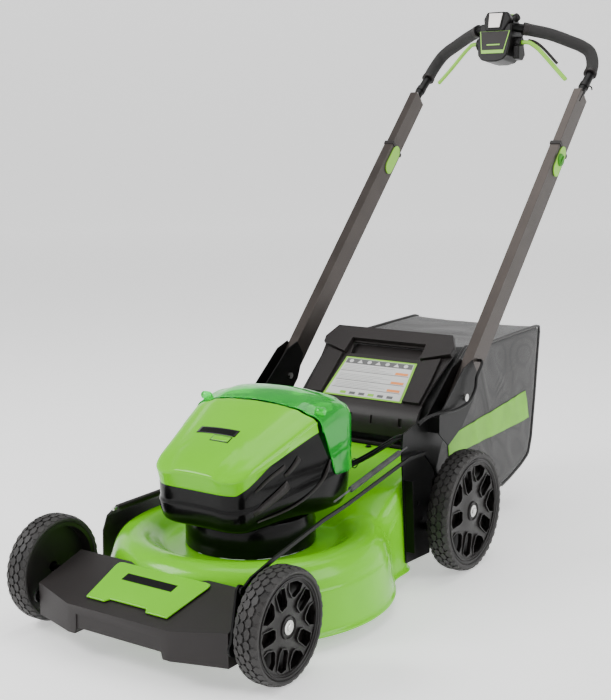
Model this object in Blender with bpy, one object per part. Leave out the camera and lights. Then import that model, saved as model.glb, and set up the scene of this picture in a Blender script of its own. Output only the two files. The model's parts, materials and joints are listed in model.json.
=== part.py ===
"""Battery walk-behind lawn mower with a 21 inch deck, a rear bag and a telescoping handle.

Metres, +Z up, the front of the mower towards -Y. Shapes are laid out from the front wheels' axis at
Y = 0 with the ground at Z = 0, and hang from an empty that brings the middle of the length to Y = 0.
"""
import math

import bmesh
import bpy
from mathutils import Matrix, Vector

for old in list(bpy.data.objects):
    bpy.data.objects.remove(old, do_unlink=True)

# ---- Driving dimensions ----------------------------------------------------------------------
GAP = 0.0003                   # between faces that touch
LAYOUT_MIDDLE_Y = 0.6617       # middle of the whole length, from the front wheels' axis

WHEELBASE = 0.6705
FRONT_RADIUS = 0.1015          # 8 inch wheels
REAR_RADIUS = 0.1270           # 10 inch wheels
WHEEL_OUTER_X = 0.2885
WHEEL_WIDTH = 0.0480
WHEEL_SIDES = 28               # a flat facet rests on the ground
RIM_SHARE = 0.877              # rim radius over tyre radius
AXLE_RADIUS = 0.0065

ARM_BACK = 0.0750              # from a crank's pivot back to its wheel axis
ARM_RISE = 0.0250              # and up to it, at the lowest cutting height
LUG = (0.020, 0.095)           # from a crank's pivot to its link pin
CRANK_X = (0.2218, 0.2263)
LINK_X = (0.2272, 0.2312)

DECK_Y = 0.275                 # the blade's axis
DECK_REAR_HALF = 0.2100
DECK_SIDES = 40

HANDLE_X = 0.2257
HANDLE_PIVOT = (0.713, 0.357)
HANDLE_SLOPE = math.radians(45.9)
LOWER_TUBE = (0.0235, 0.0500)
UPPER_TUBE = (0.0199, 0.0464)
TUBE_WALL = 0.0015
LOWER_TUBE_SPAN = (-0.030, 0.705)   # along the tube, from the pivot
UPPER_TUBE_SPAN = (0.400, 0.880)
LOCK_ALONG = 0.670
BAR_RADIUS = 0.0110
GRIP_RADIUS = 0.0145

DOOR_HINGE = (0.680, 0.268)
LID_HINGE = (0.302, 0.402)
FLAP_HINGE = (-0.243, 0.180)   # x, z
BAIL_HINGE = (1.345, 1.120)

LEFT, RIGHT = 1, -1            # the operator's left is +X


# ---- Finishes --------------------------------------------------------------------------------
def finish(name, colour, roughness, metallic=0.0, alpha=1.0):
    """A Principled material with one colour."""
    made = bpy.data.materials.new(name)
    made.use_nodes = True
    shader = made.node_tree.nodes["Principled BSDF"]
    shader.inputs["Base Color"].default_value = (*colour, 1.0)
    shader.inputs["Roughness"].default_value = roughness
    shader.inputs["Metallic"].default_value = metallic
    shader.inputs["Alpha"].default_value = alpha
    made.diffuse_color = (*colour, alpha)
    return made


LIME = finish("lime_paint", (0.22, 0.62, 0.01), 0.25)
BLACK_PAINT = finish("black_paint", (0.012, 0.012, 0.012), 0.3)
CHARCOAL = finish("charcoal_plastic", (0.045, 0.042, 0.04), 0.55)
GLOSS_BLACK = finish("gloss_black_plastic", (0.015, 0.015, 0.015), 0.25)
CLEAR_GREEN = finish("clear_green_plastic", (0.02, 0.55, 0.02), 0.12, alpha=0.5)
TYRE_RUBBER = finish("tyre_rubber", (0.03, 0.03, 0.03), 0.8)
RIM_PLASTIC = finish("rim_plastic", (0.03, 0.028, 0.028), 0.45)
STEEL = finish("zinc_steel", (0.62, 0.62, 0.60), 0.35, 1.0)
DARK_STEEL = finish("dark_steel", (0.12, 0.12, 0.12), 0.4, 1.0)
BRONZE = finish("bronze_tube", (0.20, 0.18, 0.165), 0.38, 0.6)
FOAM = finish("grip_foam", (0.035, 0.032, 0.032), 0.85)
KNOB_GREEN = finish("knob_green", (0.25, 0.60, 0.10), 0.4)
FABRIC = finish("bag_fabric", (0.02, 0.02, 0.02), 0.9)
COPPER = finish("copper_winding", (0.55, 0.25, 0.12), 0.4, 1.0)
CABLE = finish("cable_jacket", (0.015, 0.015, 0.015), 0.5)


# ---- Objects and their parents ---------------------------------------------------------------
def empty(name, at, parent=None):
    """An empty at a place of the layout, under another empty."""
    made = bpy.data.objects.new(name, None)
    bpy.context.collection.objects.link(made)
    made["layout"] = at
    if parent is None:
        made.location = (0.0, -LAYOUT_MIDDLE_Y, 0.0)
    else:
        made.parent = parent
        made.location = Vector(at) - Vector(parent["layout"])
    return made


CHASSIS = empty("chassis_frame", (0.0, 0.0, 0.0))


def place(name, mesh_builder, colour, parent=CHASSIS, smooth=35.0):
    """Turns a bmesh drawn in layout coordinates into an object whose origin is its parent's."""
    origin = Vector(parent["layout"])
    bmesh.ops.translate(mesh_builder, verts=mesh_builder.verts, vec=-origin)
    mesh = bpy.data.meshes.new(name)
    mesh_builder.to_mesh(mesh)
    mesh_builder.free()
    if smooth:
        mesh.shade_smooth()
        mesh.set_sharp_from_angle(angle=math.radians(smooth))
    made = bpy.data.objects.new(name, mesh)
    bpy.context.collection.objects.link(made)
    made.parent = parent
    if colour is not None:
        mesh.materials.append(colour)
    return made


def boolean(target, tool_builder, operation):
    """Adds a Boolean with a hidden tool that moves with its target."""
    name = f"{target.name}_tool_{len(target.modifiers)}"
    tool = place(name, tool_builder, None, target.parent, smooth=0.0)
    tool.hide_render = True
    tool.display_type = "WIRE"
    step = target.modifiers.new(operation.lower(), "BOOLEAN")
    step.operation = operation
    step.object = tool
    step.solver = "EXACT"


def fuse(target, *tools):
    for tool in tools:
        boolean(target, tool, "UNION")


def carve(target, *tools):
    for tool in tools:
        boolean(target, tool, "DIFFERENCE")


# ---- Shapes ----------------------------------------------------------------------------------
def box(low, high):
    """A box between two corners."""
    made = bmesh.new()
    size = Vector(high) - Vector(low)
    middle = (Vector(high) + Vector(low)) / 2
    bmesh.ops.create_cube(made, size=1.0, matrix=Matrix.Translation(middle) @ Matrix.Diagonal((*size, 1.0)))
    return made


def prism(outline, axis, low, high):
    """An outline in the plane across an axis ('X': y, z; 'Y': x, z; 'Z': x, y), pushed along it."""
    spots = {"X": lambda a, b, c: (c, a, b), "Y": lambda a, b, c: (a, c, b),
             "Z": lambda a, b, c: (a, b, c)}[axis]
    made = bmesh.new()
    face = made.faces.new([made.verts.new(spots(a, b, low)) for a, b in outline])
    pushed = bmesh.ops.extrude_face_region(made, geom=[face])["geom"]
    step = Vector(spots(0.0, 0.0, high - low))
    bmesh.ops.translate(made, verts=[v for v in pushed if isinstance(v, bmesh.types.BMVert)], vec=step)
    bmesh.ops.recalc_face_normals(made, faces=made.faces)
    return made


def convex(planes, grow=0.0, reach=2.0):
    """The solid inside a set of planes (point, outward normal, grows), each moved out by grow."""
    made = bmesh.new()
    bmesh.ops.create_cube(made, size=reach)
    for point, normal, grows in planes:
        normal = Vector(normal).normalized()
        spot = Vector(point) + (normal * grow if grows else Vector())
        everything = made.verts[:] + made.edges[:] + made.faces[:]
        cut = bmesh.ops.bisect_plane(made, geom=everything, plane_co=spot, plane_no=normal, clear_outer=True)
        rim = [e for e in cut["geom_cut"] if isinstance(e, bmesh.types.BMEdge)]
        if rim:
            bmesh.ops.contextual_create(made, geom=rim)
    bmesh.ops.recalc_face_normals(made, faces=made.faces)
    return made


def loft(sections):
    """A closed solid through outlines with the same number of points."""
    made = bmesh.new()
    rings = [[made.verts.new(spot) for spot in section] for section in sections]
    for ring, following in zip(rings, rings[1:]):
        for i in range(len(ring)):
            j = (i + 1) % len(ring)
            made.faces.new((ring[i], ring[j], following[j], following[i]))
    made.faces.new(rings[0])
    made.faces.new(rings[-1])
    bmesh.ops.recalc_face_normals(made, faces=made.faces)
    return made


def turned(profile, centre, axis, sides, phase=0.5):
    """A closed loop of (along, radius) points turned about an axis through the centre."""
    made = bmesh.new()
    frames = {"X": (Vector((1, 0, 0)), Vector((0, 0, -1))), "Y": (Vector((0, 1, 0)), Vector((1, 0, 0))),
              "Z": (Vector((0, 0, 1)), Vector((1, 0, 0)))}
    along, out = frames[axis]
    start = Matrix.Rotation(phase * math.tau / sides, 3, along) @ out
    loop = [made.verts.new(Vector(centre) + along * a + start * r) for a, r in profile]
    edges = [made.edges.new((loop[i - 1], loop[i])) for i in range(len(loop))]
    bmesh.ops.spin(made, geom=loop + edges, cent=centre, axis=along, angle=math.tau, steps=sides,
        use_merge=True)
    bmesh.ops.remove_doubles(made, verts=made.verts, dist=1e-6)
    flat = [face for face in made.faces if face.calc_area() < 1e-10]
    bmesh.ops.delete(made, geom=flat, context="FACES_ONLY")
    bmesh.ops.recalc_face_normals(made, faces=made.faces)
    return made


def cylinder(centre, axis, low, high, radius, sides=16, phase=0.5):
    """A plain round bar between two places along an axis."""
    profile = [(low, 0.0), (low, radius), (high, radius), (high, 0.0)]
    return turned(profile, centre, axis, sides, phase)


def sleeve(centre, axis, low, high, outer, inner, sides=16):
    """A round tube between two places along an axis."""
    return turned([(low, inner), (low, outer), (high, outer), (high, inner)], centre, axis, sides)


def smooth_path(points, steps):
    """Points along a Catmull-Rom curve through a route's own points."""
    route = [Vector(p) for p in points]
    route = [2 * route[0] - route[1]] + route + [2 * route[-1] - route[-2]]
    made = []
    for a, b, c, d in zip(route, route[1:], route[2:], route[3:]):
        for k in range(steps):
            t = k / steps
            made.append(0.5 * (2 * b + (c - a) * t + (2 * a - 5 * b + 4 * c - d) * t * t
                               + (3 * b - a - 3 * c + d) * t ** 3))
    return made + [route[-2]]


def swept(path, radius, sides=10, bore=0.0):
    """A round bar, or a tube with a bore, along a path."""
    made = bmesh.new()
    side = Vector((0, 0, 1)).cross(path[1] - path[0]).normalized()
    rings = []
    for i, spot in enumerate(path):
        ahead = (path[min(i + 1, len(path) - 1)] - path[max(i - 1, 0)]).normalized()
        side = (side - ahead * side.dot(ahead)).normalized()
        up = ahead.cross(side)
        turns = [k * math.tau / sides for k in range(sides)]
        rings.append([[made.verts.new(spot + r * (side * math.cos(t) + up * math.sin(t))) for t in turns]
                      for r in ([radius, bore] if bore else [radius])])
    for ring, following in zip(rings, rings[1:]):
        for loop, after in zip(ring, following):
            for i in range(sides):
                j = (i + 1) % sides
                made.faces.new((loop[i], loop[j], after[j], after[i]))
    for end in (rings[0], rings[-1]):
        if bore:
            for i in range(sides):
                j = (i + 1) % sides
                made.faces.new((end[0][i], end[0][j], end[1][j], end[1][i]))
        else:
            made.faces.new(end[0])
    bmesh.ops.recalc_face_normals(made, faces=made.faces)
    return made


def capsule(start, end, radius, low, high, ends=6):
    """A flat bar with round ends in the Y-Z plane, between two X faces."""
    start, end = Vector(start), Vector(end)
    lean = math.atan2(end.y - start.y, end.x - start.x)
    outline = []
    for middle, first in ((end, lean - math.pi / 2), (start, lean + math.pi / 2)):
        for k in range(ends + 1):
            turn = first + k * math.pi / ends
            outline.append((middle.x + radius * math.cos(turn), middle.y + radius * math.sin(turn)))
    return prism(outline, "X", low, high)


def strap(route, half, low, high):
    """A flat bar of even width that follows a route in the Y-Z plane, between two X faces."""
    spots = [Vector(spot) for spot in route]
    upper, lower = [], []
    for i, spot in enumerate(spots):
        run = (spots[min(i + 1, len(spots) - 1)] - spots[max(i - 1, 0)]).normalized()
        across = Vector((-run.y, run.x)) * half
        upper.append(spot + across)
        lower.append(spot - across)
    return prism(upper + lower[::-1], "X", low, high)


def span_x(side, low, high):
    """An X span on the left side, or its mirror image on the right."""
    return (low, high) if side == LEFT else (-high, -low)


# ---- Deck ------------------------------------------------------------------------------------
BOWL = [(0.2835, 0.023), (0.2835, 0.028), (0.2795, 0.032), (0.2725, 0.106), (0.2630, 0.134), (0.2450, 0.151),
        (0.2220, 0.157), (0.2000, 0.151), (0.1820, 0.137), (0.1650, 0.1275)]
BOWL_INSIDE = [(0.2803, 0.000), (0.2803, 0.0265), (0.2765, 0.031), (0.2695, 0.105), (0.2605, 0.1325),
               (0.2435, 0.1482), (0.2220, 0.154), (0.2015, 0.1482), (0.1835, 0.1342), (0.1660, 0.1245)]
CHUTE = [(0.385, 0.023, 0.100), (0.440, 0.023, 0.157), (0.520, 0.023, 0.212), (0.5555, 0.023, 0.2285),
         (0.5565, 0.100, 0.229), (0.600, 0.118, 0.243), (0.668, 0.147, 0.243)]
CHUTE_INSIDE = [(0.385, 0.000, 0.096, 0.207), (0.440, 0.000, 0.1535, 0.207), (0.520, 0.000, 0.2085, 0.207),
                (0.5525, 0.000, 0.225, 0.207), (0.5535, 0.1035, 0.2255, 0.207), (0.600, 0.1215, 0.240, 0.207),
                (0.6645, 0.1495, 0.240, 0.207), (0.6650, 0.153, 0.238, 0.158), (0.700, 0.153, 0.238, 0.158)]
SHOULDER = 0.030
HANGER_X = 0.105
DISCHARGE_Y = (0.158, 0.362)


def bowl(profile, grow=0.0):
    """The round dish of the deck, as a solid turned about the blade's axis."""
    loop = [(z + grow, r + grow) for r, z in profile]
    return turned([(loop[0][0], 0.0)] + loop + [(loop[-1][0], 0.0)], (0.0, DECK_Y, 0.0), "Z", DECK_SIDES)


def chute_section(y, floor, top, half, shoulder):
    return [(-half, y, floor), (half, y, floor), (half, y, top - shoulder), (half - shoulder, y, top),
            (shoulder - half, y, top), (-half, y, top - shoulder)]


def hanger(side, outline):
    low, high = span_x(side, HANGER_X - 0.0015, HANGER_X + 0.0015)
    return prism(outline, "X", low, high)


FRONT_PIVOT = (-ARM_BACK, FRONT_RADIUS - ARM_RISE)
REAR_PIVOT = (WHEELBASE - ARM_BACK, REAR_RADIUS - ARM_RISE)
REAR_AXIS = (WHEELBASE, REAR_RADIUS)

deck = place("deck_shell", bowl(BOWL), LIME)
fuse(deck, loft([chute_section(y, floor, top, DECK_REAR_HALF, SHOULDER) for y, floor, top in CHUTE]))
carve(deck, bowl(BOWL_INSIDE))
carve(deck, loft([chute_section(y, floor, top, half, SHOULDER - 0.001)
                  for y, floor, top, half in CHUTE_INSIDE]))
for side in (LEFT, RIGHT):
    fuse(deck, hanger(side, [(0.0225, 0.064), (0.0245, 0.098), (-0.088, 0.092), (-0.088, 0.064)]))
    lug_x = span_x(side, 0.1575, 0.1625)
    fuse(deck, prism([(0.650, 0.238), (0.6665, 0.238), (0.688, 0.262), (0.688, 0.276), (0.672, 0.276)], "X",
        *lug_x))
carve(deck, cylinder((0, DECK_Y, 0), "Z", 0.10, 0.14, 0.030, 20))
carve(deck, box((-0.300, 0.170, 0.045), (-0.240, 0.350, 0.118)))
carve(deck, cylinder((0, *FRONT_PIVOT), "X", -0.2, 0.2, 0.0078, 12))
for edge in (DISCHARGE_Y[0] - 0.008, DISCHARGE_Y[1] + 0.002):
    fuse(deck, prism([(-0.195, 0.148), (-0.240, 0.118), (-0.2505, 0.172), (-0.2505, 0.188), (-0.235, 0.188)],
                     "Y", edge, edge + 0.006))
carve(deck, cylinder((0, *DOOR_HINGE), "X", -0.2, 0.2, 0.0034, 10))
carve(deck, cylinder((FLAP_HINGE[0], 0, FLAP_HINGE[1]), "Y", 0.14, 0.38, 0.0034, 10))

place("door_hinge_rod", cylinder((0, *DOOR_HINGE), "X", -0.166, 0.166, 0.0030, 10), STEEL)
place("discharge_hinge_rod", cylinder((FLAP_HINGE[0], 0, FLAP_HINGE[1]), "Y", 0.146, 0.374, 0.0030, 10),
    STEEL)
place("rear_skirt", box((-0.195, 0.5575, 0.032), (0.195, 0.5605, 0.097)), TYRE_RUBBER)

# ---- Front fascia and its badge plate --------------------------------------------------------
FASCIA_TOP = ((-0.112, 0.095), (0.040, 0.138))
FASCIA_PLAN = [((0.0, -0.112), (0.0, -1.0)), ((0.114, -0.112), (0.518, -0.855)),
    ((0.190, -0.066), (0.721, -0.693)),
               ((0.2155, -0.030), (1.0, 0.0))]


def fascia_solid(grow):
    """The fascia's outer shape; with a negative grow, its hollow."""
    run = Vector(FASCIA_TOP[1]) - Vector(FASCIA_TOP[0])
    planes = [((0, *FASCIA_TOP[0]), (0.0, -run.y, run.x), True)]
    for (x, y), (nx, ny) in FASCIA_PLAN:
        planes.append(((x, y, 0.0), (nx, ny, 0.0), True))
        if nx:
            planes.append(((-x, y, 0.0), (-nx, ny, 0.0), True))
    bottom = 0.042 if grow >= 0 else 0.020
    planes += [((0, 0, bottom), (0, 0, -1), False), ((0, 0.075 - grow * 20, 0), (0, 1, 0), False)]
    return convex(planes, grow)


fascia = place("front_fascia", fascia_solid(0.0), CHARCOAL)
carve(fascia, fascia_solid(-0.003))
carve(fascia, bowl(BOWL, 0.0008), cylinder((0, *FRONT_PIVOT), "X", -0.25, 0.25, 0.0084, 12))

BADGE_LIFT = 0.0004
badge_rise = (FASCIA_TOP[1][1] - FASCIA_TOP[0][1]) / (FASCIA_TOP[1][0] - FASCIA_TOP[0][0])


def badge_corner(x, y, lift):
    return (x, y, FASCIA_TOP[0][1] + badge_rise * (y - FASCIA_TOP[0][0]) + lift)


badge_plan = [(-0.092, -0.088), (0.092, -0.088), (0.104, 0.012), (-0.104, 0.012)]
badge = place("fascia_badge", loft([[badge_corner(x, y, lift) for x, y in badge_plan]
                                    for lift in (BADGE_LIFT, BADGE_LIFT + 0.004)]), LIME)
carve(badge, bowl(BOWL, 0.0010))

# ---- Motor, housing, cover, lid and battery --------------------------------------------------
MOTOR_AXIS = (0.0, DECK_Y, 0.0)
place("motor_base", turned([(0.1280, 0.100), (0.1280, 0.128), (0.1700, 0.1275), (0.1900, 0.122),
    (0.1900, 0.100)],
                           MOTOR_AXIS, "Z", 28), GLOSS_BLACK)
place("motor_stator", sleeve(MOTOR_AXIS, "Z", 0.1280, 0.1850, 0.080, 0.052, 24), COPPER)

HOUSING_PLAN = [((0.0, 0.104), (0.0, -1.0)), ((0.072, 0.104), (0.424, -0.905)),
    ((0.104, 0.119), (0.973, -0.229)),
                ((0.150, 0.330), (1.0, 0.0)), ((0.150, 0.395), (0.819, 0.573)), ((0.0, 0.452), (0.0, 1.0))]
ROOF = [(0.104, 0.299), (0.139, 0.324), (0.288, 0.395), (0.360, 0.411), (0.420, 0.405), (0.452, 0.360)]
CROWN = [(0.1505, 0.374), (0.138, 0.399), (0.0, 0.413)]
HOUSING_FLOOR = 0.1903


def housing_solid(grow, floor=HOUSING_FLOOR, front=None, rear=None, foot=None, plan=HOUSING_PLAN):
    """The motor housing's outer shape, moved out by grow and cut off at a front, a rear or a sloping foot."""
    planes = []
    for (x, y), (nx, ny) in plan:
        for sign in ((1, -1) if nx else (1,)):
            planes.append(((sign * x, y, 0.0), (sign * nx, ny, 0.0), True))
            if floor >= HOUSING_FLOOR - 0.001:
                planes.append(((sign * x, y, 0.228), (sign * nx, ny, -0.42), True))
    for (y0, z0), (y1, z1) in zip(ROOF, ROOF[1:]):
        planes.append(((0, y0, z0), (0, z0 - z1, y1 - y0), True))
    for (x0, z0), (x1, z1) in zip(CROWN, CROWN[1:]):
        planes.append(((x0, 0, z0), (z1 - z0, 0, x0 - x1), True))
        planes.append(((-x0, 0, z0), (z0 - z1, 0, x0 - x1), True))
    planes.append(((0, 0, floor), (0, 0, -1), False))
    if front is not None:
        planes.append(((0, front, 0), (0, -1, 0), False))
    if rear is not None:
        planes.append(((0, rear, 0), (0, 1, 0), False))
    if foot is not None:
        (y0, z0), (y1, z1) = foot
        planes.append(((0, y0, z0), (0, z1 - z0, y0 - y1), False))
    return convex(planes, grow)


housing = place("motor_housing", housing_solid(0.0), GLOSS_BLACK)
carve(housing, box((-0.078, 0.308, 0.209), (0.078, 0.432, 0.450)))
carve(housing, box((0.082, 0.330, 0.372), (0.120, 0.410, 0.450)))
carve(housing, convex([((0, 0, 0.285), (0, 0, 1), False), ((0, 0, 0.150), (0, 0, -1), False),
                       ((0, 0.110, 0), (0, -1, 0), False), ((0, 0.302, 0), (0, 1, 0), False),
                       ((0.100, 0.122, 0), (0.973, -0.229, 0), False),
                       ((-0.100, 0.122, 0), (-0.973, -0.229, 0), False),
                       ((0.108, 0.19, 0.192), (0.9, 0, -0.42), False),
                       ((-0.108, 0.19, 0.192), (-0.9, 0, -0.42), False),
                       ((0, 0.134, 0.192), (0, -0.9, -0.42), False)]))

cover = place("motor_cover", housing_solid(0.0035, floor=0.15, rear=0.2985,
    foot=((0.100, 0.270), (0.2985, 0.370))), LIME)
carve(cover, housing_solid(0.0006, floor=0.10))

LID = empty("battery_lid_hinge", (0.0, *LID_HINGE), CHASSIS)
# The lid's sides are straight, so they slide along the housing as it swings.
LID_PLAN = HOUSING_PLAN[3:]
lid = place("battery_lid", housing_solid(0.0040, floor=0.262, front=0.302, plan=LID_PLAN), CLEAR_GREEN, LID)
carve(lid, housing_solid(0.0006, floor=0.10, plan=LID_PLAN))

battery = place("battery_pack", box((-0.0745, 0.3115, 0.2105), (0.0745, 0.4285, 0.388)), GLOSS_BLACK)
carve(battery, box((-0.045, 0.345, 0.366), (0.045, 0.362, 0.400)))
RELEASE = empty("battery_release_slide", (0.101, 0.370, 0.3765), CHASSIS)
place("battery_release", box((0.088, 0.345, 0.3765), (0.114, 0.395, 0.3890)), KNOB_GREEN, RELEASE)

# ---- Blade and rotor -------------------------------------------------------------------------
BLADE = empty("blade_spin", (0.0, DECK_Y, 0.0575), CHASSIS)
BLADE_HALF = 0.262
BLADE_Z = 0.0555
rotor = place("motor_rotor", cylinder(MOTOR_AXIS, "Z", 0.1310, 0.1820, 0.0500, 24), DARK_STEEL, BLADE)
fuse(rotor, cylinder(MOTOR_AXIS, "Z", 0.0755, 0.1860, 0.0125, 16))
adapter = place("blade_adapter", cylinder(MOTOR_AXIS, "Z", 0.0600, 0.0752, 0.0240, 16), DARK_STEEL, BLADE)
carve(adapter, cylinder(MOTOR_AXIS, "Z", 0.05, 0.08, 0.0060, 12))
blade_outline = [(-BLADE_HALF, BLADE_Z), (-0.180, BLADE_Z), (0.180, BLADE_Z), (BLADE_HALF, BLADE_Z),
                 (BLADE_HALF, BLADE_Z + 0.0042), (0.180, BLADE_Z + 0.0042), (-0.180, BLADE_Z + 0.0042),
                 (-BLADE_HALF, BLADE_Z + 0.0042)]
blade = place("blade", prism(blade_outline, "Y", DECK_Y - 0.028, DECK_Y + 0.028), DARK_STEEL, BLADE)
for side in (LEFT, RIGHT):
    wing = [(DECK_Y + side * 0.014, BLADE_Z + 0.003), (DECK_Y + side * 0.028, BLADE_Z + 0.003),
            (DECK_Y + side * 0.028, BLADE_Z + 0.020), (DECK_Y + side * 0.025, BLADE_Z + 0.020)]
    fuse(blade, prism(wing, "X", *span_x(side, 0.190, BLADE_HALF)))
carve(blade, cylinder(MOTOR_AXIS, "Z", 0.05, 0.07, 0.0060, 12))
bolt = place("blade_bolt", cylinder(MOTOR_AXIS, "Z", 0.0440, 0.0552, 0.0120, 6), STEEL, BLADE)
fuse(bolt, cylinder(MOTOR_AXIS, "Z", 0.0530, 0.0752, 0.0055, 12))

# ---- Side discharge door ---------------------------------------------------------------------
FLAP = empty("side_discharge_hinge", (FLAP_HINGE[0], 0.260, FLAP_HINGE[1]), CHASSIS)
flap_outline = [(-0.2485, 0.1825), (-0.2485, 0.1775), (-0.2700, 0.1580), (-0.2825, 0.1250), (-0.2850, 0.0600),
                (-0.2880, 0.0600), (-0.2855, 0.1260), (-0.2725, 0.1600)]
flap = place("side_discharge_door", prism(flap_outline, "Y", *DISCHARGE_Y), BLACK_PAINT, FLAP)
flap_axis = (FLAP_HINGE[0], 0, FLAP_HINGE[1])
fuse(flap, cylinder(flap_axis, "Y", *DISCHARGE_Y, 0.0065, 12))
carve(flap, cylinder(flap_axis, "Y", 0.14, 0.38, 0.0034, 10))


# ---- Wheels and axles ------------------------------------------------------------------------
def wheel(place_name, side, axis_yz, radius, parent_axle):
    """A tyre, a rim with ten windows and a hub bolt."""
    y, z = axis_yz
    centre = (0.0, y, z)
    facet = 1.0 / math.cos(math.pi / WHEEL_SIDES)
    rim = radius * RIM_SHARE
    out, inner = WHEEL_OUTER_X, WHEEL_OUTER_X - WHEEL_WIDTH

    def spun(points):
        return [(side * x, r * facet) for x, r in points]

    spin = empty(f"{place_name}_wheel_spin", (side * (out + inner) / 2, y, z), parent_axle)
    tyre = [(inner, rim), (inner, radius - 0.006), (inner + 0.006, radius), (out - 0.006, radius),
            (out, radius - 0.006), (out, rim)]
    place(f"{place_name}_tyre", turned(spun(tyre), centre, "X", WHEEL_SIDES), TYRE_RUBBER, spin)
    web = (out - 0.020, out - 0.014)
    hub_face = out - 0.0110
    shape = [(inner + 0.002, rim - GAP), (out - 0.002, rim - GAP), (out - 0.002, rim - 0.004),
        (web[1], rim - 0.006),
             (web[1], 0.020), (hub_face, 0.018), (hub_face, AXLE_RADIUS + 0.0006),
             (inner + 0.002, AXLE_RADIUS + 0.0006), (inner + 0.002, 0.018), (web[0], 0.020),
             (web[0], rim - 0.006),
             (inner + 0.002, rim - 0.004)]
    rim_part = place(f"{place_name}_rim", turned(spun(shape), centre, "X", WHEEL_SIDES), RIM_PLASTIC, spin)
    near, far = 0.028, rim - 0.012
    for k in range(5):
        middle = k * math.tau / 5 + math.pi / 2
        for lean, reach, half in ((0.0, near + 0.014, 0.15), (math.pi / 5, near, 0.30)):
            turn = middle + lean
            corners = [(reach, turn - half * 0.8), (far, turn - half * 0.8), (far, turn + half * 0.8),
                       (reach, turn + half * 0.8)]
            outline = [(y + r * math.cos(a), z + r * math.sin(a)) for r, a in corners]
            carve(rim_part, prism(outline, "X", *span_x(side, web[0] - 0.004, web[1] + 0.002)))
    head = [(out - 0.0140, 0.0040), (out - 0.0102, 0.0040), (out - 0.0102, 0.0110), (out - 0.0082, 0.0110),
            (out - 0.0082, 0.0080), (out - 0.0015, 0.0080)]
    profile = [(side * (out - 0.0260), 0.0), (side * (out - 0.0260), 0.0040)]
    profile += [(side * x, r) for x, r in head] + [(side * (out - 0.0015), 0.0)]
    place(f"{place_name}_hub_bolt", turned(profile, centre, "X", 12), STEEL, parent_axle)


def stub(side, axis_yz):
    """A stub axle from a crank to just inside the wheel's face, bored for the hub bolt."""
    y, z = axis_yz
    end = WHEEL_OUTER_X - 0.0105
    profile = [(0.2240, 0.0), (0.2240, AXLE_RADIUS), (end, AXLE_RADIUS), (end, 0.0044),
        (end - 0.0170, 0.0044),
               (end - 0.0170, 0.0)]
    return turned([(side * x, r) for x, r in profile], (0.0, y, z), "X", 16)


FRONT_AXLE = empty("front_axle_pivot", (0.0, *FRONT_PIVOT), CHASSIS)
front_axle = place("front_axle", cylinder((0, *FRONT_PIVOT), "X", -CRANK_X[1], CRANK_X[1], 0.0075, 16),
    BLACK_PAINT,
                   FRONT_AXLE)
front_axis = (0.0, FRONT_RADIUS)
for side in (LEFT, RIGHT):
    fuse(front_axle, capsule(FRONT_PIVOT, front_axis, 0.014, *span_x(side, *CRANK_X)), stub(side, front_axis))
front_pin = (FRONT_PIVOT[0] + LUG[0], FRONT_PIVOT[1] + LUG[1])
fuse(front_axle, capsule(FRONT_PIVOT, front_pin, 0.010, *CRANK_X))
carve(front_axle, cylinder((0, *front_pin), "X", 0.2100, 0.2400, 0.0048, 12))

REAR_AXLE = empty("rear_axle_pivot", (0.0, *REAR_PIVOT), CHASSIS)
carrier = place("rear_axle_carrier", cylinder((0, *REAR_PIVOT), "X", -CRANK_X[1], CRANK_X[1], 0.0075, 16),
                BLACK_PAINT, REAR_AXLE)
rear_pin = (REAR_PIVOT[0] + LUG[0], REAR_PIVOT[1] + LUG[1])
for side in (LEFT, RIGHT):
    fuse(carrier, capsule(REAR_PIVOT, REAR_AXIS, 0.014, *span_x(side, *CRANK_X)))
fuse(carrier, capsule(REAR_PIVOT, rear_pin, 0.010, *CRANK_X))
carve(carrier, cylinder((0, *rear_pin), "X", 0.2100, 0.2400, 0.0048, 12))
carve(carrier, cylinder((0, *REAR_AXIS), "X", -0.25, 0.25, AXLE_RADIUS + GAP, 16))
shaft_end = WHEEL_OUTER_X - 0.0105
shaft = place("rear_axle_shaft", cylinder((0, *REAR_AXIS), "X", -shaft_end, shaft_end, AXLE_RADIUS, 16),
    STEEL,
              REAR_AXLE)
carve(shaft, cylinder((0, *REAR_AXIS), "X", shaft_end - 0.017, 0.30, 0.0044, 12),
      cylinder((0, *REAR_AXIS), "X", -0.30, -shaft_end + 0.017, 0.0044, 12))
GEARBOX_Z = 0.1175
gearbox = place("drive_gearbox", cylinder((0, WHEELBASE, GEARBOX_Z), "X", -0.050, 0.050, 0.0240, 16),
    GLOSS_BLACK,
                REAR_AXLE)
carve(gearbox, cylinder((0, *REAR_AXIS), "X", -0.10, 0.10, AXLE_RADIUS + GAP, 16))
lever_root, lever_tip = (0.5905, 0.125), (0.5660, 0.262)
lever = place("height_lever", capsule(lever_root, lever_tip, 0.008, -0.2215, -0.2175), BLACK_PAINT, REAR_AXLE)
fuse(lever, capsule((0.572, 0.228), lever_tip, 0.011, -0.2320, -0.2165))

LINK = empty("height_link_pivot", (LINK_X[0], *rear_pin), REAR_AXLE)
LINK_ROUTE = [front_pin, (-0.030, 0.1850), (0.041, 0.2010), (0.186, 0.2270), (0.266, 0.2360), (0.495, 0.2720),
              (0.560, 0.2680), (0.600, 0.2300), rear_pin]
link = place("height_link", strap(LINK_ROUTE, 0.0035, *LINK_X), BLACK_PAINT, LINK)
for pin in (front_pin, rear_pin):
    fuse(link, cylinder((0, *pin), "X", LINK_X[0] - 0.0004, LINK_X[1] + 0.0004, 0.0075, 12),
         cylinder((0, *pin), "X", 0.2200, LINK_X[1] - 0.001, 0.0042, 12))

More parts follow.
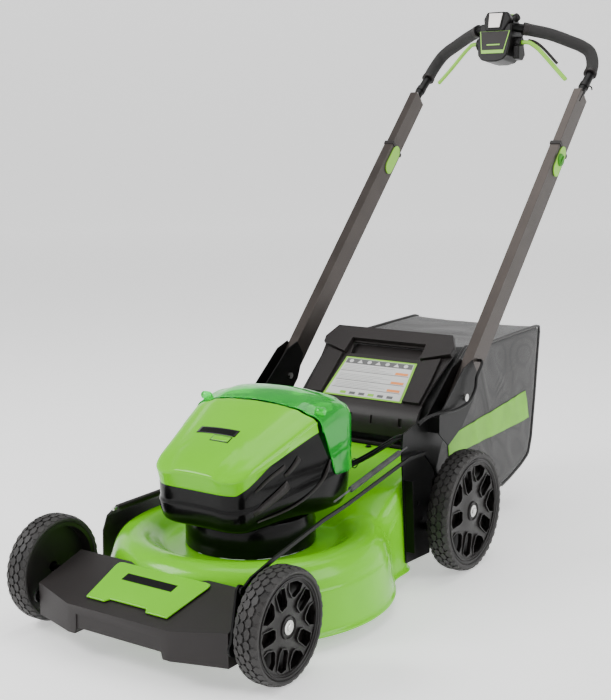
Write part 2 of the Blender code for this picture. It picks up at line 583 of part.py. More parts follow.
for side, word in ((LEFT, "left"), (RIGHT, "right")):
    wheel(f"front_{word}", side, front_axis, FRONT_RADIUS, FRONT_AXLE)
    wheel(f"rear_{word}", side, REAR_AXIS, REAR_RADIUS, REAR_AXLE)

# ---- Lift spring, motor leads and control cable ----------------------------------------------
place("lift_spring", swept([Vector((0.2215, 0.235, 0.2480)), Vector((0.2215, 0.500, 0.2930))], 0.0050, 10),
    DARK_STEEL)
LEADS_ROUTE = [(0.2068, 0.520, 0.308), (0.190, 0.512, 0.304), (0.160, 0.503, 0.290), (0.130, 0.500, 0.268),
               (0.107, 0.496, 0.250), (0.092, 0.485, 0.238), (0.080, 0.470, 0.230), (0.076, 0.4535, 0.226)]
place("motor_leads", swept(smooth_path(LEADS_ROUTE, 3), 0.0055, 8), CABLE)

# ---- Handle brackets -------------------------------------------------------------------------
INNER_CHEEK = [(0.515, 0.045), (0.612, 0.040), (0.628, 0.200), (0.660, 0.262), (0.745, 0.345), (0.768, 0.400),
               (0.745, 0.432), (0.705, 0.420), (0.600, 0.338), (0.500, 0.318), (0.495, 0.280)]
OUTER_CHEEK = [(0.640, 0.268), (0.700, 0.296), (0.752, 0.345), (0.768, 0.400), (0.745, 0.432), (0.705, 0.420),
               (0.600, 0.338), (0.600, 0.300)]
INNER_CHEEK_X = (DECK_REAR_HALF + GAP, 0.2134)
OUTER_CHEEK_X = (0.2380, 0.2403)

for side, word in ((LEFT, "left"), (RIGHT, "right")):
    bracket = place(f"handle_bracket_{word}", prism(INNER_CHEEK, "X", *span_x(side, *INNER_CHEEK_X)),
        BLACK_PAINT)
    web_x = span_x(side, INNER_CHEEK_X[1] - 0.001, OUTER_CHEEK_X[0] + 0.001)
    flange_x = span_x(side, INNER_CHEEK_X[1] - 0.001, 0.2330)
    fuse(bracket, prism(OUTER_CHEEK, "X", *span_x(side, *OUTER_CHEEK_X)),
         prism([(0.600, 0.302), (0.603, 0.302), (0.645, 0.332), (0.645, 0.335), (0.600, 0.335)], "X", *web_x),
         prism([(0.514, 0.070), (0.518, 0.070), (0.507, 0.222), (0.503, 0.222)], "X", *flange_x))
    carve(bracket, cylinder((0, *REAR_PIVOT), "X", -0.3, 0.3, 0.0079, 16),
          cylinder((0, *HANDLE_PIVOT), "X", -0.3, 0.3, 0.0043, 12))
    low, high = 0.2060, 0.2445
    bolt_profile = [(low, 0.0), (low, 0.0070), (INNER_CHEEK_X[0] - 0.0002, 0.0070),
        (INNER_CHEEK_X[0] - 0.0002, 0.0040),
                    (OUTER_CHEEK_X[1] + 0.0002, 0.0040), (OUTER_CHEEK_X[1] + 0.0002, 0.0080), (high, 0.0080),
                    (high, 0.0)]
    place(f"pivot_bolt_{word}", turned([(side * x, r) for x, r in bolt_profile], (0, *HANDLE_PIVOT), "X", 12),
        STEEL)

# ---- Rear door -------------------------------------------------------------------------------
DOOR = empty("rear_door_hinge", (0.0, *DOOR_HINGE), CHASSIS)
DOOR_HALF = 0.155
DOOR_OUTLINE = [(0.6635, 0.262), (0.6605, 0.290), (0.6680, 0.314), (0.6860, 0.333), (0.8360, 0.4565),
                (0.8398, 0.4519), (0.6900, 0.3286), (0.6740, 0.3105), (0.6665, 0.288), (0.6695, 0.262)]
DOOR_RIB = [(0.6695, 0.262), (0.6690, 0.290), (0.6760, 0.310), (0.6920, 0.326), (0.700, 0.322),
    (0.690, 0.295),
            (0.688, 0.268), (0.680, 0.259)]
door = place("rear_door", prism(DOOR_OUTLINE, "X", -DOOR_HALF, DOOR_HALF), CHARCOAL, DOOR)
for side in (LEFT, RIGHT):
    fuse(door, prism([(y - 0.002, z) for y, z in DOOR_RIB], "X", *span_x(side, 0.1505, DOOR_HALF)))
    fuse(door, cylinder((0, *DOOR_HINGE), "X", *span_x(side, 0.1505, DOOR_HALF), 0.0085, 12))
carve(door, cylinder((0, *DOOR_HINGE), "X", -0.2, 0.2, 0.0034, 10))
carve(door, box((-0.055, 0.795, 0.380), (0.055, 0.815, 0.480)))

# ---- Grass bag -------------------------------------------------------------------------------
BAG = empty("bag_slide", (0.0, 0.680, 0.200), CHASSIS)
BAG_HALF = 0.172
BAG_OUTLINE = [(0.6960, 0.150), (0.760, 0.135), (1.042, 0.073), (1.197, 0.121), (1.241, 0.435),
    (0.880, 0.4300),
               (0.848, 0.4430), (0.704, 0.3270), (0.6960, 0.313)]
BAG_INSIDE = [(0.7000, 0.154), (0.760, 0.139), (1.042, 0.0775), (1.193, 0.124), (1.2365, 0.431),
    (0.880, 0.4260),
              (0.850, 0.4370), (0.707, 0.3240), (0.7000, 0.312)]
bag = place("grass_bag", prism(BAG_OUTLINE, "X", -BAG_HALF, BAG_HALF), FABRIC, BAG)
carve(bag, prism(BAG_INSIDE, "X", 0.004 - BAG_HALF, BAG_HALF - 0.004),
    box((-0.138, 0.680, 0.164), (0.138, 0.710, 0.234)))
MOUTH = [(-0.148, 0.155), (0.148, 0.155), (0.148, 0.243), (-0.148, 0.243)]
mouth = place("bag_frame", prism(MOUTH, "Y", 0.6720, 0.6957), CHARCOAL, BAG)
carve(mouth, box((-0.140, 0.660, 0.162), (0.140, 0.710, 0.236)))

# ---- Handle ----------------------------------------------------------------------------------
FOLD = empty("handle_fold", (0.0, *HANDLE_PIVOT), CHASSIS)
TELESCOPE = empty("handle_telescope", (0.0, *HANDLE_PIVOT), FOLD)


def tube_along(side, span, size):
    """A square-ended box along the handle's slope, from one distance past the pivot to another."""
    half_wide, half_deep = size[0] / 2, size[1] / 2
    made = box((-half_wide, span[0], -half_deep), (half_wide, span[1], half_deep))
    turn = Matrix.Translation((side * HANDLE_X, *HANDLE_PIVOT)) @ Matrix.Rotation(HANDLE_SLOPE, 4, "X")
    bmesh.ops.transform(made, matrix=turn, verts=made.verts)
    return made


def on_handle(side, along, above=0.0, outward=0.0):
    """A place by its distance along the tube, above its centre line and outward from it."""
    y = HANDLE_PIVOT[0] + along * math.cos(HANDLE_SLOPE) - above * math.sin(HANDLE_SLOPE)
    z = HANDLE_PIVOT[1] + along * math.sin(HANDLE_SLOPE) + above * math.cos(HANDLE_SLOPE)
    return Vector((side * (HANDLE_X + outward), y, z))


BAR_HALF = [(0.2257, 1.3255, 0.9945), (0.2259, 1.3500, 1.0130), (0.2255, 1.3790, 1.0360),
    (0.2220, 1.4050, 1.0640),
            (0.2080, 1.4210, 1.0930), (0.1870, 1.4180, 1.1090), (0.1630, 1.4100, 1.1200),
            (0.1140, 1.3880, 1.1400),
            (0.0600, 1.3500, 1.1540), (0.0300, 1.3380, 1.1580)]
BAR_PATH = smooth_path(BAR_HALF + [(0.0, 1.3350, 1.1590)] + [(-x, y, z) for x, y, z in reversed(BAR_HALF)], 2)
GRIP_PATH = BAR_PATH[4:17]

for side, word in ((LEFT, "left"), (RIGHT, "right")):
    lower = place(f"lower_tube_{word}", tube_along(side, LOWER_TUBE_SPAN, LOWER_TUBE), BRONZE, FOLD)
    bore = (LOWER_TUBE[0] - 2 * TUBE_WALL, LOWER_TUBE[1] - 2 * TUBE_WALL)
    carve(lower, tube_along(side, (LOWER_TUBE_SPAN[0] - 0.01, LOWER_TUBE_SPAN[1] + 0.01), bore))
    carve(lower, cylinder((0, *HANDLE_PIVOT), "X", -0.3, 0.3, 0.0043, 12))
    upper = place(f"upper_tube_{word}", tube_along(side, UPPER_TUBE_SPAN, UPPER_TUBE), BRONZE, TELESCOPE)
    bore = (UPPER_TUBE[0] - 2 * TUBE_WALL, UPPER_TUBE[1] - 2 * TUBE_WALL)
    carve(upper, tube_along(side, (UPPER_TUBE_SPAN[0] - 0.01, UPPER_TUBE_SPAN[1] + 0.01), bore))
    grip_path = [Vector((side * p.x, p.y, p.z)) for p in GRIP_PATH]
    place(f"foam_grip_{word}", swept(grip_path, GRIP_RADIUS, 10, BAR_RADIUS + 0.0009), FOAM, TELESCOPE)
    knob_face = HANDLE_X + LOWER_TUBE[0] / 2 + GAP
    knob_centre = on_handle(side, LOCK_ALONG)
    turn_empty = empty(f"lock_{word}_turn", (side * knob_face, knob_centre.y, knob_centre.z), FOLD)
    turned_knob = [(side * knob_face, 0.0), (side * knob_face, 0.0130), (side * (knob_face + 0.004), 0.0130),
                   (side * (knob_face + 0.004), 0.0095), (side * (knob_face + 0.011), 0.0085),
                   (side * (knob_face + 0.011), 0.0)]
    place(f"lock_knob_{word}", turned(turned_knob, (0, knob_centre.y, knob_centre.z), "X", 14), KNOB_GREEN,
        turn_empty)

bar = place("upper_bar", swept(BAR_PATH, BAR_RADIUS, 10), BLACK_PAINT, TELESCOPE)
CAP_SPAN = (UPPER_TUBE_SPAN[1] + GAP, UPPER_TUBE_SPAN[1] + 0.0065)
for side in (LEFT, RIGHT):
    fuse(bar, tube_along(side, CAP_SPAN, UPPER_TUBE))

# ---- Controls --------------------------------------------------------------------------------
BOX_HALF = 0.050
BOX_OUTLINE = [(1.306, 1.070), (1.300, 1.085), (1.312, 1.150), (1.330, 1.198), (1.352, 1.200), (1.385, 1.175),
               (1.392, 1.140), (1.372, 1.090), (1.340, 1.066)]
control_box = place("control_box", prism(BOX_OUTLINE, "X", -BOX_HALF, BOX_HALF), GLOSS_BLACK, TELESCOPE)
carve(control_box, swept(BAR_PATH, BAR_RADIUS + GAP * 1.5, 10))
PANEL = [(1.3006, 1.090), (1.3112, 1.147), (1.3098, 1.1473), (1.2992, 1.0903)]
place("control_panel", prism([(y - 0.0006, z) for y, z in PANEL], "X", -0.044, 0.044), CHARCOAL, TELESCOPE)

BAIL = empty("blade_bail_hinge", (0.0, *BAIL_HINGE), TELESCOPE)
BAIL_ROUTE = [(0.0508, *BAIL_HINGE), (0.068, *BAIL_HINGE), (0.085, 1.350, 1.117), (0.105, 1.354, 1.100),
              (0.140, 1.354, 1.063), (0.175, 1.351, 1.029)]
bail_left = [Vector(p) for p in BAIL_ROUTE]
bail_right = [Vector((-x, y, z)) for x, y, z in BAIL_ROUTE]
carve(control_box, cylinder((0, *BAIL_HINGE), "X", -0.06, 0.06, 0.0054, 12))
bail_path = list(reversed(bail_right)) + bail_left
place("blade_bail", swept(bail_path, 0.0050, 8), KNOB_GREEN, BAIL)

DRIVE = empty("drive_lever_hinge", (0.0, *BAIL_HINGE), BAIL)
DRIVE_ROUTE = [(0.072, 1.3560, 1.1260), (0.090, 1.3620, 1.1200), (0.112, 1.3660, 1.1020),
    (0.146, 1.3665, 1.0670)]
place("drive_lever", swept([Vector(p) for p in DRIVE_ROUTE], 0.0030, 8), CHARCOAL, DRIVE)

START = empty("start_button_slide", (0.020, 1.368, 1.190), TELESCOPE)
button_axis = (0.020, 1.366, 0.0)
carve(control_box, cylinder(button_axis, "Z", 1.1750, 1.23, 0.0085, 14))
place("start_button", cylinder(button_axis, "Z", 1.1795, 1.1935, 0.0078, 14), KNOB_GREEN, START)

CABLE_ROUTE = [(0.2380, 0.7760, 0.4260), (0.2450, 0.7758, 0.4259), (0.2520, 0.7640, 0.4200),
    (0.2550, 0.7360, 0.3980),
               (0.2560, 0.7280, 0.3750), (0.2540, 0.7080, 0.3530), (0.2500, 0.6800, 0.3440),
               (0.2470, 0.6400, 0.3420),
               (0.2450, 0.6080, 0.3450), (0.2360, 0.5860, 0.3440), (0.2270, 0.5650, 0.3380),
               (0.2230, 0.5450, 0.3300)]
place("control_cable", swept(smooth_path(CABLE_ROUTE, 4), 0.0035, 8), CABLE)
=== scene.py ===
# %% [markdown]
# # A walk-behind lawn mower, dressed over its CAD frame
#
# The CAD frame says where every part of the mower is and how it moves. This script builds the looks round
# it: pressed steel, moulded plastic, rubber, foam and cloth. Each step first says what the piece is on
# the real machine and how a workshop would make it, because the shape of a thing follows from how it is
# made.

# %% Load the frame
import json
import math

import bmesh
import bpy
from mathutils import Matrix, Vector, noise
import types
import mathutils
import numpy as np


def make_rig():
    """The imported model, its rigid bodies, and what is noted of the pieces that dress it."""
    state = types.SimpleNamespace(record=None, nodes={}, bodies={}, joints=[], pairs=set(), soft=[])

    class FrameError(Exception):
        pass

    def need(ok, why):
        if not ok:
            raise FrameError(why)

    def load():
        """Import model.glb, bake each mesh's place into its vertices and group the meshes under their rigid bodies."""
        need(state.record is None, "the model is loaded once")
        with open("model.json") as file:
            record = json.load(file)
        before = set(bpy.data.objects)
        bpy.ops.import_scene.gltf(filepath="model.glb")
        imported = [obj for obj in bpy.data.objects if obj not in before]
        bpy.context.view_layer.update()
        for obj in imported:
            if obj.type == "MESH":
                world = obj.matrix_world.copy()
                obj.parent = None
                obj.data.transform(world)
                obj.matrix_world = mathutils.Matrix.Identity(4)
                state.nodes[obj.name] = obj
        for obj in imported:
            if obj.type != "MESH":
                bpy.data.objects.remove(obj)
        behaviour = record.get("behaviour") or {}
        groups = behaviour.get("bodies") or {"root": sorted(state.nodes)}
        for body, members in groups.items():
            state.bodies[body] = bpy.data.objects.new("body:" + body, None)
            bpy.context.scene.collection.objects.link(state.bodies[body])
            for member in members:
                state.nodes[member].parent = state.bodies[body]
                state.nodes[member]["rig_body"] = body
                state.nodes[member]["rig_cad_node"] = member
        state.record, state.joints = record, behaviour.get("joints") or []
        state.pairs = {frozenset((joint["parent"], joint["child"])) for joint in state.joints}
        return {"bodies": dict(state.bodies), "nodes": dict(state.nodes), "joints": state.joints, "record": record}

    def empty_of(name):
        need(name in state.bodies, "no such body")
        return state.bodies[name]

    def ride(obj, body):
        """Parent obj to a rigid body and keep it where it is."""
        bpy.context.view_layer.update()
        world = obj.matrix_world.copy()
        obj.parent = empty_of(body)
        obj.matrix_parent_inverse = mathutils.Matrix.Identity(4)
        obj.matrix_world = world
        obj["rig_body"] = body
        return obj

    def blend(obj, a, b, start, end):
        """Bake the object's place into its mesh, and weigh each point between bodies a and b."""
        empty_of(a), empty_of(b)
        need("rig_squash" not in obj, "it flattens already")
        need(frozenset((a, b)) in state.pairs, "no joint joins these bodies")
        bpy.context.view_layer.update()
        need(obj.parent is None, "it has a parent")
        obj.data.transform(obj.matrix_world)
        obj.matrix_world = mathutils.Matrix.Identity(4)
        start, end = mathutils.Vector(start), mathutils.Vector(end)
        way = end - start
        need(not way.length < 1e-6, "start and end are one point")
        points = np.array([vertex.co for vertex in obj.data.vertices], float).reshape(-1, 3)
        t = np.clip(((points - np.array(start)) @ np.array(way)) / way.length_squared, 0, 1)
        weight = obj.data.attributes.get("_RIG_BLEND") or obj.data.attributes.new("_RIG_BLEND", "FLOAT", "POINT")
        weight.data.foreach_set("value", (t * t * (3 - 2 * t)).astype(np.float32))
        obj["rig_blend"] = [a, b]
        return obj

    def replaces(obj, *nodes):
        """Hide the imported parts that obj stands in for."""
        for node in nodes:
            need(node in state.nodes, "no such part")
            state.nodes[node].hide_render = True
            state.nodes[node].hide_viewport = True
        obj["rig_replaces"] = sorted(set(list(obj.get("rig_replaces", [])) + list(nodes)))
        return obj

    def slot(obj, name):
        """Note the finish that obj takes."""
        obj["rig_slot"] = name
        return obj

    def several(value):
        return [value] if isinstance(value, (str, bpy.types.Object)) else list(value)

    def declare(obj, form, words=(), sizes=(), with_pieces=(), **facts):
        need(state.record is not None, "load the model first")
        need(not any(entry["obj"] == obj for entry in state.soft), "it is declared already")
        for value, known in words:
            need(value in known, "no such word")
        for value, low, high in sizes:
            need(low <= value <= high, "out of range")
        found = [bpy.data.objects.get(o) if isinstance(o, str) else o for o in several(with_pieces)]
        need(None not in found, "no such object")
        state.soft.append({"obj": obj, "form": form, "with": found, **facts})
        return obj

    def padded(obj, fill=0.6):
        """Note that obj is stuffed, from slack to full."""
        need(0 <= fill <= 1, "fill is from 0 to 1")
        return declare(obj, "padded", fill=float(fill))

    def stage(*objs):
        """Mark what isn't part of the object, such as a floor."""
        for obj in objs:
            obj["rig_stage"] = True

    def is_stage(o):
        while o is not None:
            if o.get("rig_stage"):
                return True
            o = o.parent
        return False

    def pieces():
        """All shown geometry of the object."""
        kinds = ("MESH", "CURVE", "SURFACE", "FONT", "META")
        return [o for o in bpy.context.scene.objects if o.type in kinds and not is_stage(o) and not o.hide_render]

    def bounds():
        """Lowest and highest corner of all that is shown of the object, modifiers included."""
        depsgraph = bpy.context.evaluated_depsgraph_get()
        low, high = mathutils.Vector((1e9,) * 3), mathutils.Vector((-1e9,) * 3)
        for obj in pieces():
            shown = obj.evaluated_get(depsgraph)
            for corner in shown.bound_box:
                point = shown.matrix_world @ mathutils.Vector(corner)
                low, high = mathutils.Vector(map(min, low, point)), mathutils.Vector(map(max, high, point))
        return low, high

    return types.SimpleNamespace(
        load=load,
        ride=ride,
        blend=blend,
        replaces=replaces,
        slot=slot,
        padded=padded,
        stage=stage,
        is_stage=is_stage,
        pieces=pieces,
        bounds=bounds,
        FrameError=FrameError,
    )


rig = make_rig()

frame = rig.load()
nodes = frame["nodes"]
size = {"before": [list(corner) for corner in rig.bounds()]}
print(len(nodes), "nodes,", len(frame["bodies"]), "bodies")

# %% [markdown]
# A mower is laid out from its front axle, so every length along it is measured from there, backwards. The
# frame's own origin is in the middle of the machine, 0.6617 m behind that axle.
#
# The camera stands in front of the mower on the operator's left and looks slightly down, at about the
# height of a person's chest, with a long lens.

# %% Places and the camera
FRONT_AXLE = 0.6617


def at(x, y, z):
    return Vector((x, y - FRONT_AXLE, z))


def look(turn, down, roll):
    """The camera's right, up and back directions for a turn round the object, a tilt and a roll."""
    a, e, r = (math.radians(v) for v in (turn, down, roll))
    back = Vector((math.sin(a) * math.cos(e), -math.cos(a) * math.cos(e), math.sin(e)))
    side = Vector((math.cos(a), math.sin(a), 0))
    up = back.cross(side)
    return math.cos(r) * side + math.sin(r) * up, math.cos(r) * up - math.sin(r) * side, back


camera = bpy.data.objects.new("camera", bpy.data.cameras.new("camera"))
bpy.context.scene.collection.objects.link(camera)
bpy.context.scene.camera = camera
camera.data.sensor_width = 36
camera.data.lens = 65.483
turned_to = Matrix(look(34.458, 10.111, -0.56)).transposed().to_4x4()
camera.matrix_world = Matrix.Translation(at(1.44643, -1.63734, 0.92889)) @ turned_to
print("camera", [round(v, 3) for v in camera.matrix_world.translation])

# %% [markdown]
# ## Materials
#
# A moulded or painted surface is never one flat colour: paint has a faint orange-peel ripple, moulded
# plastic carries the grain of its mould, and both scatter light a little differently from place to place.
# One recipe covers them all: fine noise for the grain, broad noise for the shade and the roughness. The
# paint and the clear parts add a coat or let light through.

# %% The recipe for a finish
def material(name, colour, rough, metal=0.0, grain=(900, 0.04), shade=0.06, blotch=9, **more):
    """A finish with its own grain (scale, height) and a slow drift of shade and roughness."""
    m = bpy.data.materials.new(name)
    m.use_nodes = True
    tree = m.node_tree
    new, link = tree.nodes.new, tree.links.new
    skin = tree.nodes["Principled BSDF"]
    place = new("ShaderNodeTexCoord").outputs["Object"]
    fine, broad = new("ShaderNodeTexNoise"), new("ShaderNodeTexNoise")
    fine.inputs["Scale"].default_value, fine.inputs["Detail"].default_value = grain[0], 4
    broad.inputs["Scale"].default_value, broad.inputs["Detail"].default_value = blotch, 5
    link(place, fine.inputs["Vector"])
    link(place, broad.inputs["Vector"])
    ramp = new("ShaderNodeValToRGB")
    for stop, k in zip(ramp.color_ramp.elements, (1 - shade, 1 + shade)):
        stop.color = (*[min(1, c * k) for c in colour], 1)
    ramp.color_ramp.elements[0].position, ramp.color_ramp.elements[1].position = 0.35, 0.65
    spread = new("ShaderNodeMapRange")
    spread.inputs["To Min"].default_value = rough * 0.85
    spread.inputs["To Max"].default_value = rough * 1.15
    bump = new("ShaderNodeBump")
    bump.inputs["Strength"].default_value, bump.inputs["Distance"].default_value = grain[1], 0.001
    link(broad.outputs["Fac"], ramp.inputs["Fac"])
    link(broad.outputs["Fac"], spread.inputs["Value"])
    link(fine.outputs["Fac"], bump.inputs["Height"])
    link(ramp.outputs["Color"], skin.inputs["Base Color"])
    link(spread.outputs["Result"], skin.inputs["Roughness"])
    link(bump.outputs["Normal"], skin.inputs["Normal"])
    skin.inputs["Metallic"].default_value = metal
    for socket, value in more.items():
        skin.inputs[socket.replace("_", " ")].default_value = value
    m.diffuse_color = (*colour, 1)
    return m

# %% [markdown]
# The mower wears few finishes: two glossy greens, a lighter matt green, blacks from glossy to grained,
# and a clear green for the lid. Black plastic is never quite black, so its colours sit just above it.

# %% Paints and plastics
LIME = (0.145, 0.54, 0.0)
lime_paint = material("lime_paint", LIME, 0.22, grain=(160, 0.05), shade=0.04, Coat_Weight=0.12,
    Coat_Roughness=0.06, Specular_IOR_Level=0.22)
lime_plastic = material("lime_plastic", LIME, 0.2, grain=(120, 0.03), shade=0.03, Coat_Weight=0.12,
    Coat_Roughness=0.05, Specular_IOR_Level=0.22)
leaf_plastic = material("leaf_plastic", (0.22, 0.52, 0.03), 0.38, grain=(700, 0.1), shade=0.05)
deep_green = material("deep_green", (0.03, 0.20, 0.004), 0.42, grain=(600, 0.06), shade=0.05,
    Specular_IOR_Level=0.3)
gloss_black = material("gloss_black", (0.002, 0.002, 0.002), 0.2, grain=(140, 0.03), Coat_Weight=0.06,
    Coat_Roughness=0.08, Specular_IOR_Level=0.14)
satin_black = material("satin_black", (0.0032, 0.0028, 0.0028), 0.36, grain=(900, 0.12), shade=0.1,
    Specular_IOR_Level=0.2)
charcoal = material("charcoal", (0.0135, 0.0108, 0.0105), 0.46, grain=(1500, 0.22), shade=0.1,
    Specular_IOR_Level=0.3)
rim_plastic = material("rim_plastic", (0.0068, 0.0056, 0.0054), 0.42, grain=(1200, 0.15), shade=0.1,
    Specular_IOR_Level=0.35)
powder_coat = material("powder_coat", (0.0022, 0.0022, 0.0022), 0.32, grain=(1100, 0.2), shade=0.1,
    Specular_IOR_Level=0.15)
print("paints and plastics", len(bpy.data.materials))

# %% [markdown]
# Metals reflect what is round them, so they take most of their look from roughness and grain. Foam has
# deep pores, which scatter light at every angle. The clear lid lets light through and bends it a little.

# %% Metals, foam and the clear lid
bronze = material("bronze", (0.062, 0.052, 0.047), 0.34, metal=0.75, grain=(1300, 0.1), shade=0.08,
    blotch=14)
zinc = material("zinc", (0.62, 0.62, 0.6), 0.28, metal=1.0, grain=(700, 0.08), shade=0.1, blotch=60)
dark_steel = material("dark_steel", (0.1, 0.1, 0.1), 0.42, metal=0.9, grain=(500, 0.15), shade=0.2,
    blotch=40)
copper = material("copper", (0.6, 0.24, 0.1), 0.32, metal=1.0, grain=(1800, 0.3), shade=0.15, blotch=80)
jacket = material("jacket", (0.004, 0.004, 0.004), 0.4, grain=(900, 0.1), shade=0.1, Specular_IOR_Level=0.2)
foam = material("foam", (0.017, 0.016, 0.016), 0.85, grain=(1400, 0.8), shade=0.16, blotch=60)
clear_green = material("clear_green", (0.035, 0.90, 0.10), 0.1, grain=(90, 0.02), shade=0.03,
                       Transmission_Weight=0.8, IOR=1.2, Coat_Weight=0.35)
cap_grey = material("cap_grey", (0.3, 0.28, 0.28), 0.42, grain=(900, 0.1), shade=0.05)
print(len(bpy.data.materials), "materials")

# %% [markdown]
# ## Tools for shaping
#
# Nearly every piece is one of three things: a skin laid over a formula, as a pressed or moulded panel is;
# a flat outline pushed through, as a cut plate is; or a round section drawn along a path, as a tube is. A
# small bevel follows, because no real edge is perfectly sharp, and the light on it shows its shape.

# %% Skins, plates and tubes
def surface(across, along, shape):
    """A skin of cells over shape(u, v), with u and v from 0 to 1."""
    bm = bmesh.new()
    bmesh.ops.create_grid(bm, x_segments=across, y_segments=along, size=0.5)
    for v in bm.verts:
        v.co = shape(v.co.x + 0.5, v.co.y + 0.5)
    bmesh.ops.remove_doubles(bm, verts=bm.verts, dist=1e-6)
    return bm


def plate(outline, push):
    """A flat outline pushed through by a vector."""
    bm = bmesh.new()
    verts = [bm.verts.new(p) for p in outline]
    edges = [bm.edges.new(pair) for pair in zip(verts, verts[1:] + verts[:1])]
    face = bmesh.ops.edgeloop_fill(bm, edges=edges)["faces"]
    pushed = bmesh.ops.extrude_face_region(bm, geom=face)["geom"]
    bmesh.ops.translate(bm, verts=[g for g in pushed if isinstance(g, bmesh.types.BMVert)], vec=push)
    return bm


def smooth_path(points, steps=8):
    """A smooth curve through the points."""
    points = [Vector(p) for p in points]
    ends = [2 * points[0] - points[1], *points, 2 * points[-1] - points[-2]]
    path = []
    for a, b, c, d in zip(ends, ends[1:], ends[2:], ends[3:]):
        for t in (k / steps for k in range(steps)):
            curve = 2 * b + (c - a) * t + (2 * a - 5 * b + 4 * c - d) * t * t
            path.append(0.5 * (curve + (3 * b - a - 3 * c + d) * t**3))
    return [*path, points[-1]]


def tube(path, radius, sides=14, wide=1.0):
    """A round or oval section along a path, with closed ends. radius: a number or a function of 0 to 1."""
    path = [Vector(p) for p in path]
    ways = [(path[min(i + 1, len(path) - 1)] - path[max(i - 1, 0)]).normalized() for i in range(len(path))]
    across = [ways[0].orthogonal().normalized()]
    for way in ways[1:]:
        across.append((across[-1] - way * across[-1].dot(way)).normalized())
    last = len(path) - 1

    def shape(u, v):
        i = round(v * last)
        r = radius(v) if callable(radius) else radius
        a = 2 * math.pi * u
        return path[i] + across[i] * math.cos(a) * r * wide + ways[i].cross(across[i]) * math.sin(a) * r

    bm = surface(sides, last, shape)
    bmesh.ops.holes_fill(bm, edges=bm.edges, sides=0)
    return bm

# %% [markdown]
# A lathe makes a round part from its profile, a saw takes away what lies past a plane, and a cutter of
# any shape leaves its own hole. Here a spin, a bisecting plane and a boolean do the same three jobs.

# %% Turning and cutting
def turned(profile, centre, axis, sides=64):
    """A profile of (along, radius) points spun round an axis, as on a lathe."""
    bm = bmesh.new()
    turn = Vector((0, 0, 1)).rotation_difference(Vector(axis)).to_matrix()
    verts = [bm.verts.new(Vector(centre) + turn @ Vector((r, 0, z))) for z, r in profile]
    edges = [bm.edges.new(pair) for pair in zip(verts, verts[1:])]
    bmesh.ops.spin(bm, geom=verts + edges, cent=centre, axis=axis, angle=2 * math.pi, steps=sides,
        use_merge=True)
    bmesh.ops.remove_doubles(bm, verts=bm.verts, dist=1e-6)
    return bm


def cut(bm, where, normal):
    """Takes away what lies beyond a plane."""
    bmesh.ops.bisect_plane(bm, geom=bm.verts[:] + bm.edges[:] + bm.faces[:], plane_co=where,
        plane_no=normal, clear_outer=True)
    return bm


def carved(bm, tool):
    """What is left of one solid when another is taken away."""
    pair = []
    for name, b in (("blank", bm), ("tool", tool)):
        bmesh.ops.recalc_face_normals(b, faces=b.faces)
        o = bpy.data.objects.new(name, bpy.data.meshes.new(name))
        b.to_mesh(o.data)
        bpy.context.scene.collection.objects.link(o)
        pair.append(o)
    m = pair[0].modifiers.new("cut", "BOOLEAN")
    m.object, m.solver = pair[1], "EXACT"
    bpy.context.view_layer.update()
    mesh = bpy.data.meshes.new_from_object(pair[0].evaluated_get(bpy.context.evaluated_depsgraph_get()))
    left = bmesh.new()
    left.from_mesh(mesh)
    for o in pair:
        bpy.data.objects.remove(o)
    return left


def joined(*parts):
    """Several shapes as one mesh."""
    bm = bmesh.new()
    for part in parts:
        mesh = bpy.data.meshes.new("joined")
        part.to_mesh(mesh)
        bm.from_mesh(mesh)
        bpy.data.meshes.remove(mesh)
    return bm


def mirrored(bm):
    """The piece and its mirror image on the other side of the mower."""
    bmesh.ops.mirror(bm, geom=bm.verts[:] + bm.edges[:] + bm.faces[:], axis="X", merge_dist=-1)
    return bm

# %% [markdown]
# A finished piece has faces that point outwards, sharp edges only where the real part has them, a wall
# thickness if it is a shell, and small rounded edges. It rides on the CAD body that carries it, or bends
# between two, and it stands for the plain CAD parts that it hides.

# %% A finished piece
def piece(name, bm, body, finish, kind, hides=(), sharp=38, wall=0.0, bevel=0.0, rounds=0, paint=None,
    corner=30):
    """Makes the object, gives it its finish and lets it ride on its body, or bend between two."""
    bmesh.ops.recalc_face_normals(bm, faces=bm.faces)
    for face in bm.faces:
        face.smooth = True
        face.material_index = paint(face.calc_center_median()) if paint else face.material_index
    for edge in bm.edges:
        edge.smooth = edge.calc_face_angle(0) < math.radians(sharp)
    o = bpy.data.objects.new(name, bpy.data.meshes.new(name))
    bm.to_mesh(o.data)
    bm.free()
    for f in finish if isinstance(finish, (list, tuple)) else [finish]:
        o.data.materials.append(f)
    bpy.context.scene.collection.objects.link(o)
    if wall:
        m = o.modifiers.new("wall", "SOLIDIFY")
        m.thickness, m.offset = wall, -1
    if bevel:
        m = o.modifiers.new("bevel", "BEVEL")
        m.width, m.segments, m.limit_method, m.angle_limit = bevel, 2, "ANGLE", math.radians(corner)
        m.harden_normals = True
    if rounds:
        m = o.modifiers.new("rounds", "SUBSURF")
        m.levels = m.render_levels = rounds
    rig.ride(o, body) if isinstance(body, str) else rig.blend(o, *body)
    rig.replaces(o, *hides)
    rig.slot(o, kind)
    return o

# %% [markdown]
# Curved panels are drawn by a few small formulas: a broken line, a soft step, and a walk along an
# outline.

# %% Lines and steps
def ramp(points, x):
    """The height of a broken line of (x, height) points at x."""
    for (a, p), (b, q) in zip(points, points[1:]):
        if x <= b:
            return p + (q - p) * max(0.0, x - a) / (b - a)
    return points[-1][1]


def ease(x, low, high):
    """A soft step: 0 below low, 1 above high."""
    t = min(1.0, max(0.0, (x - low) / (high - low)))
    return t * t * (3 - 2 * t)


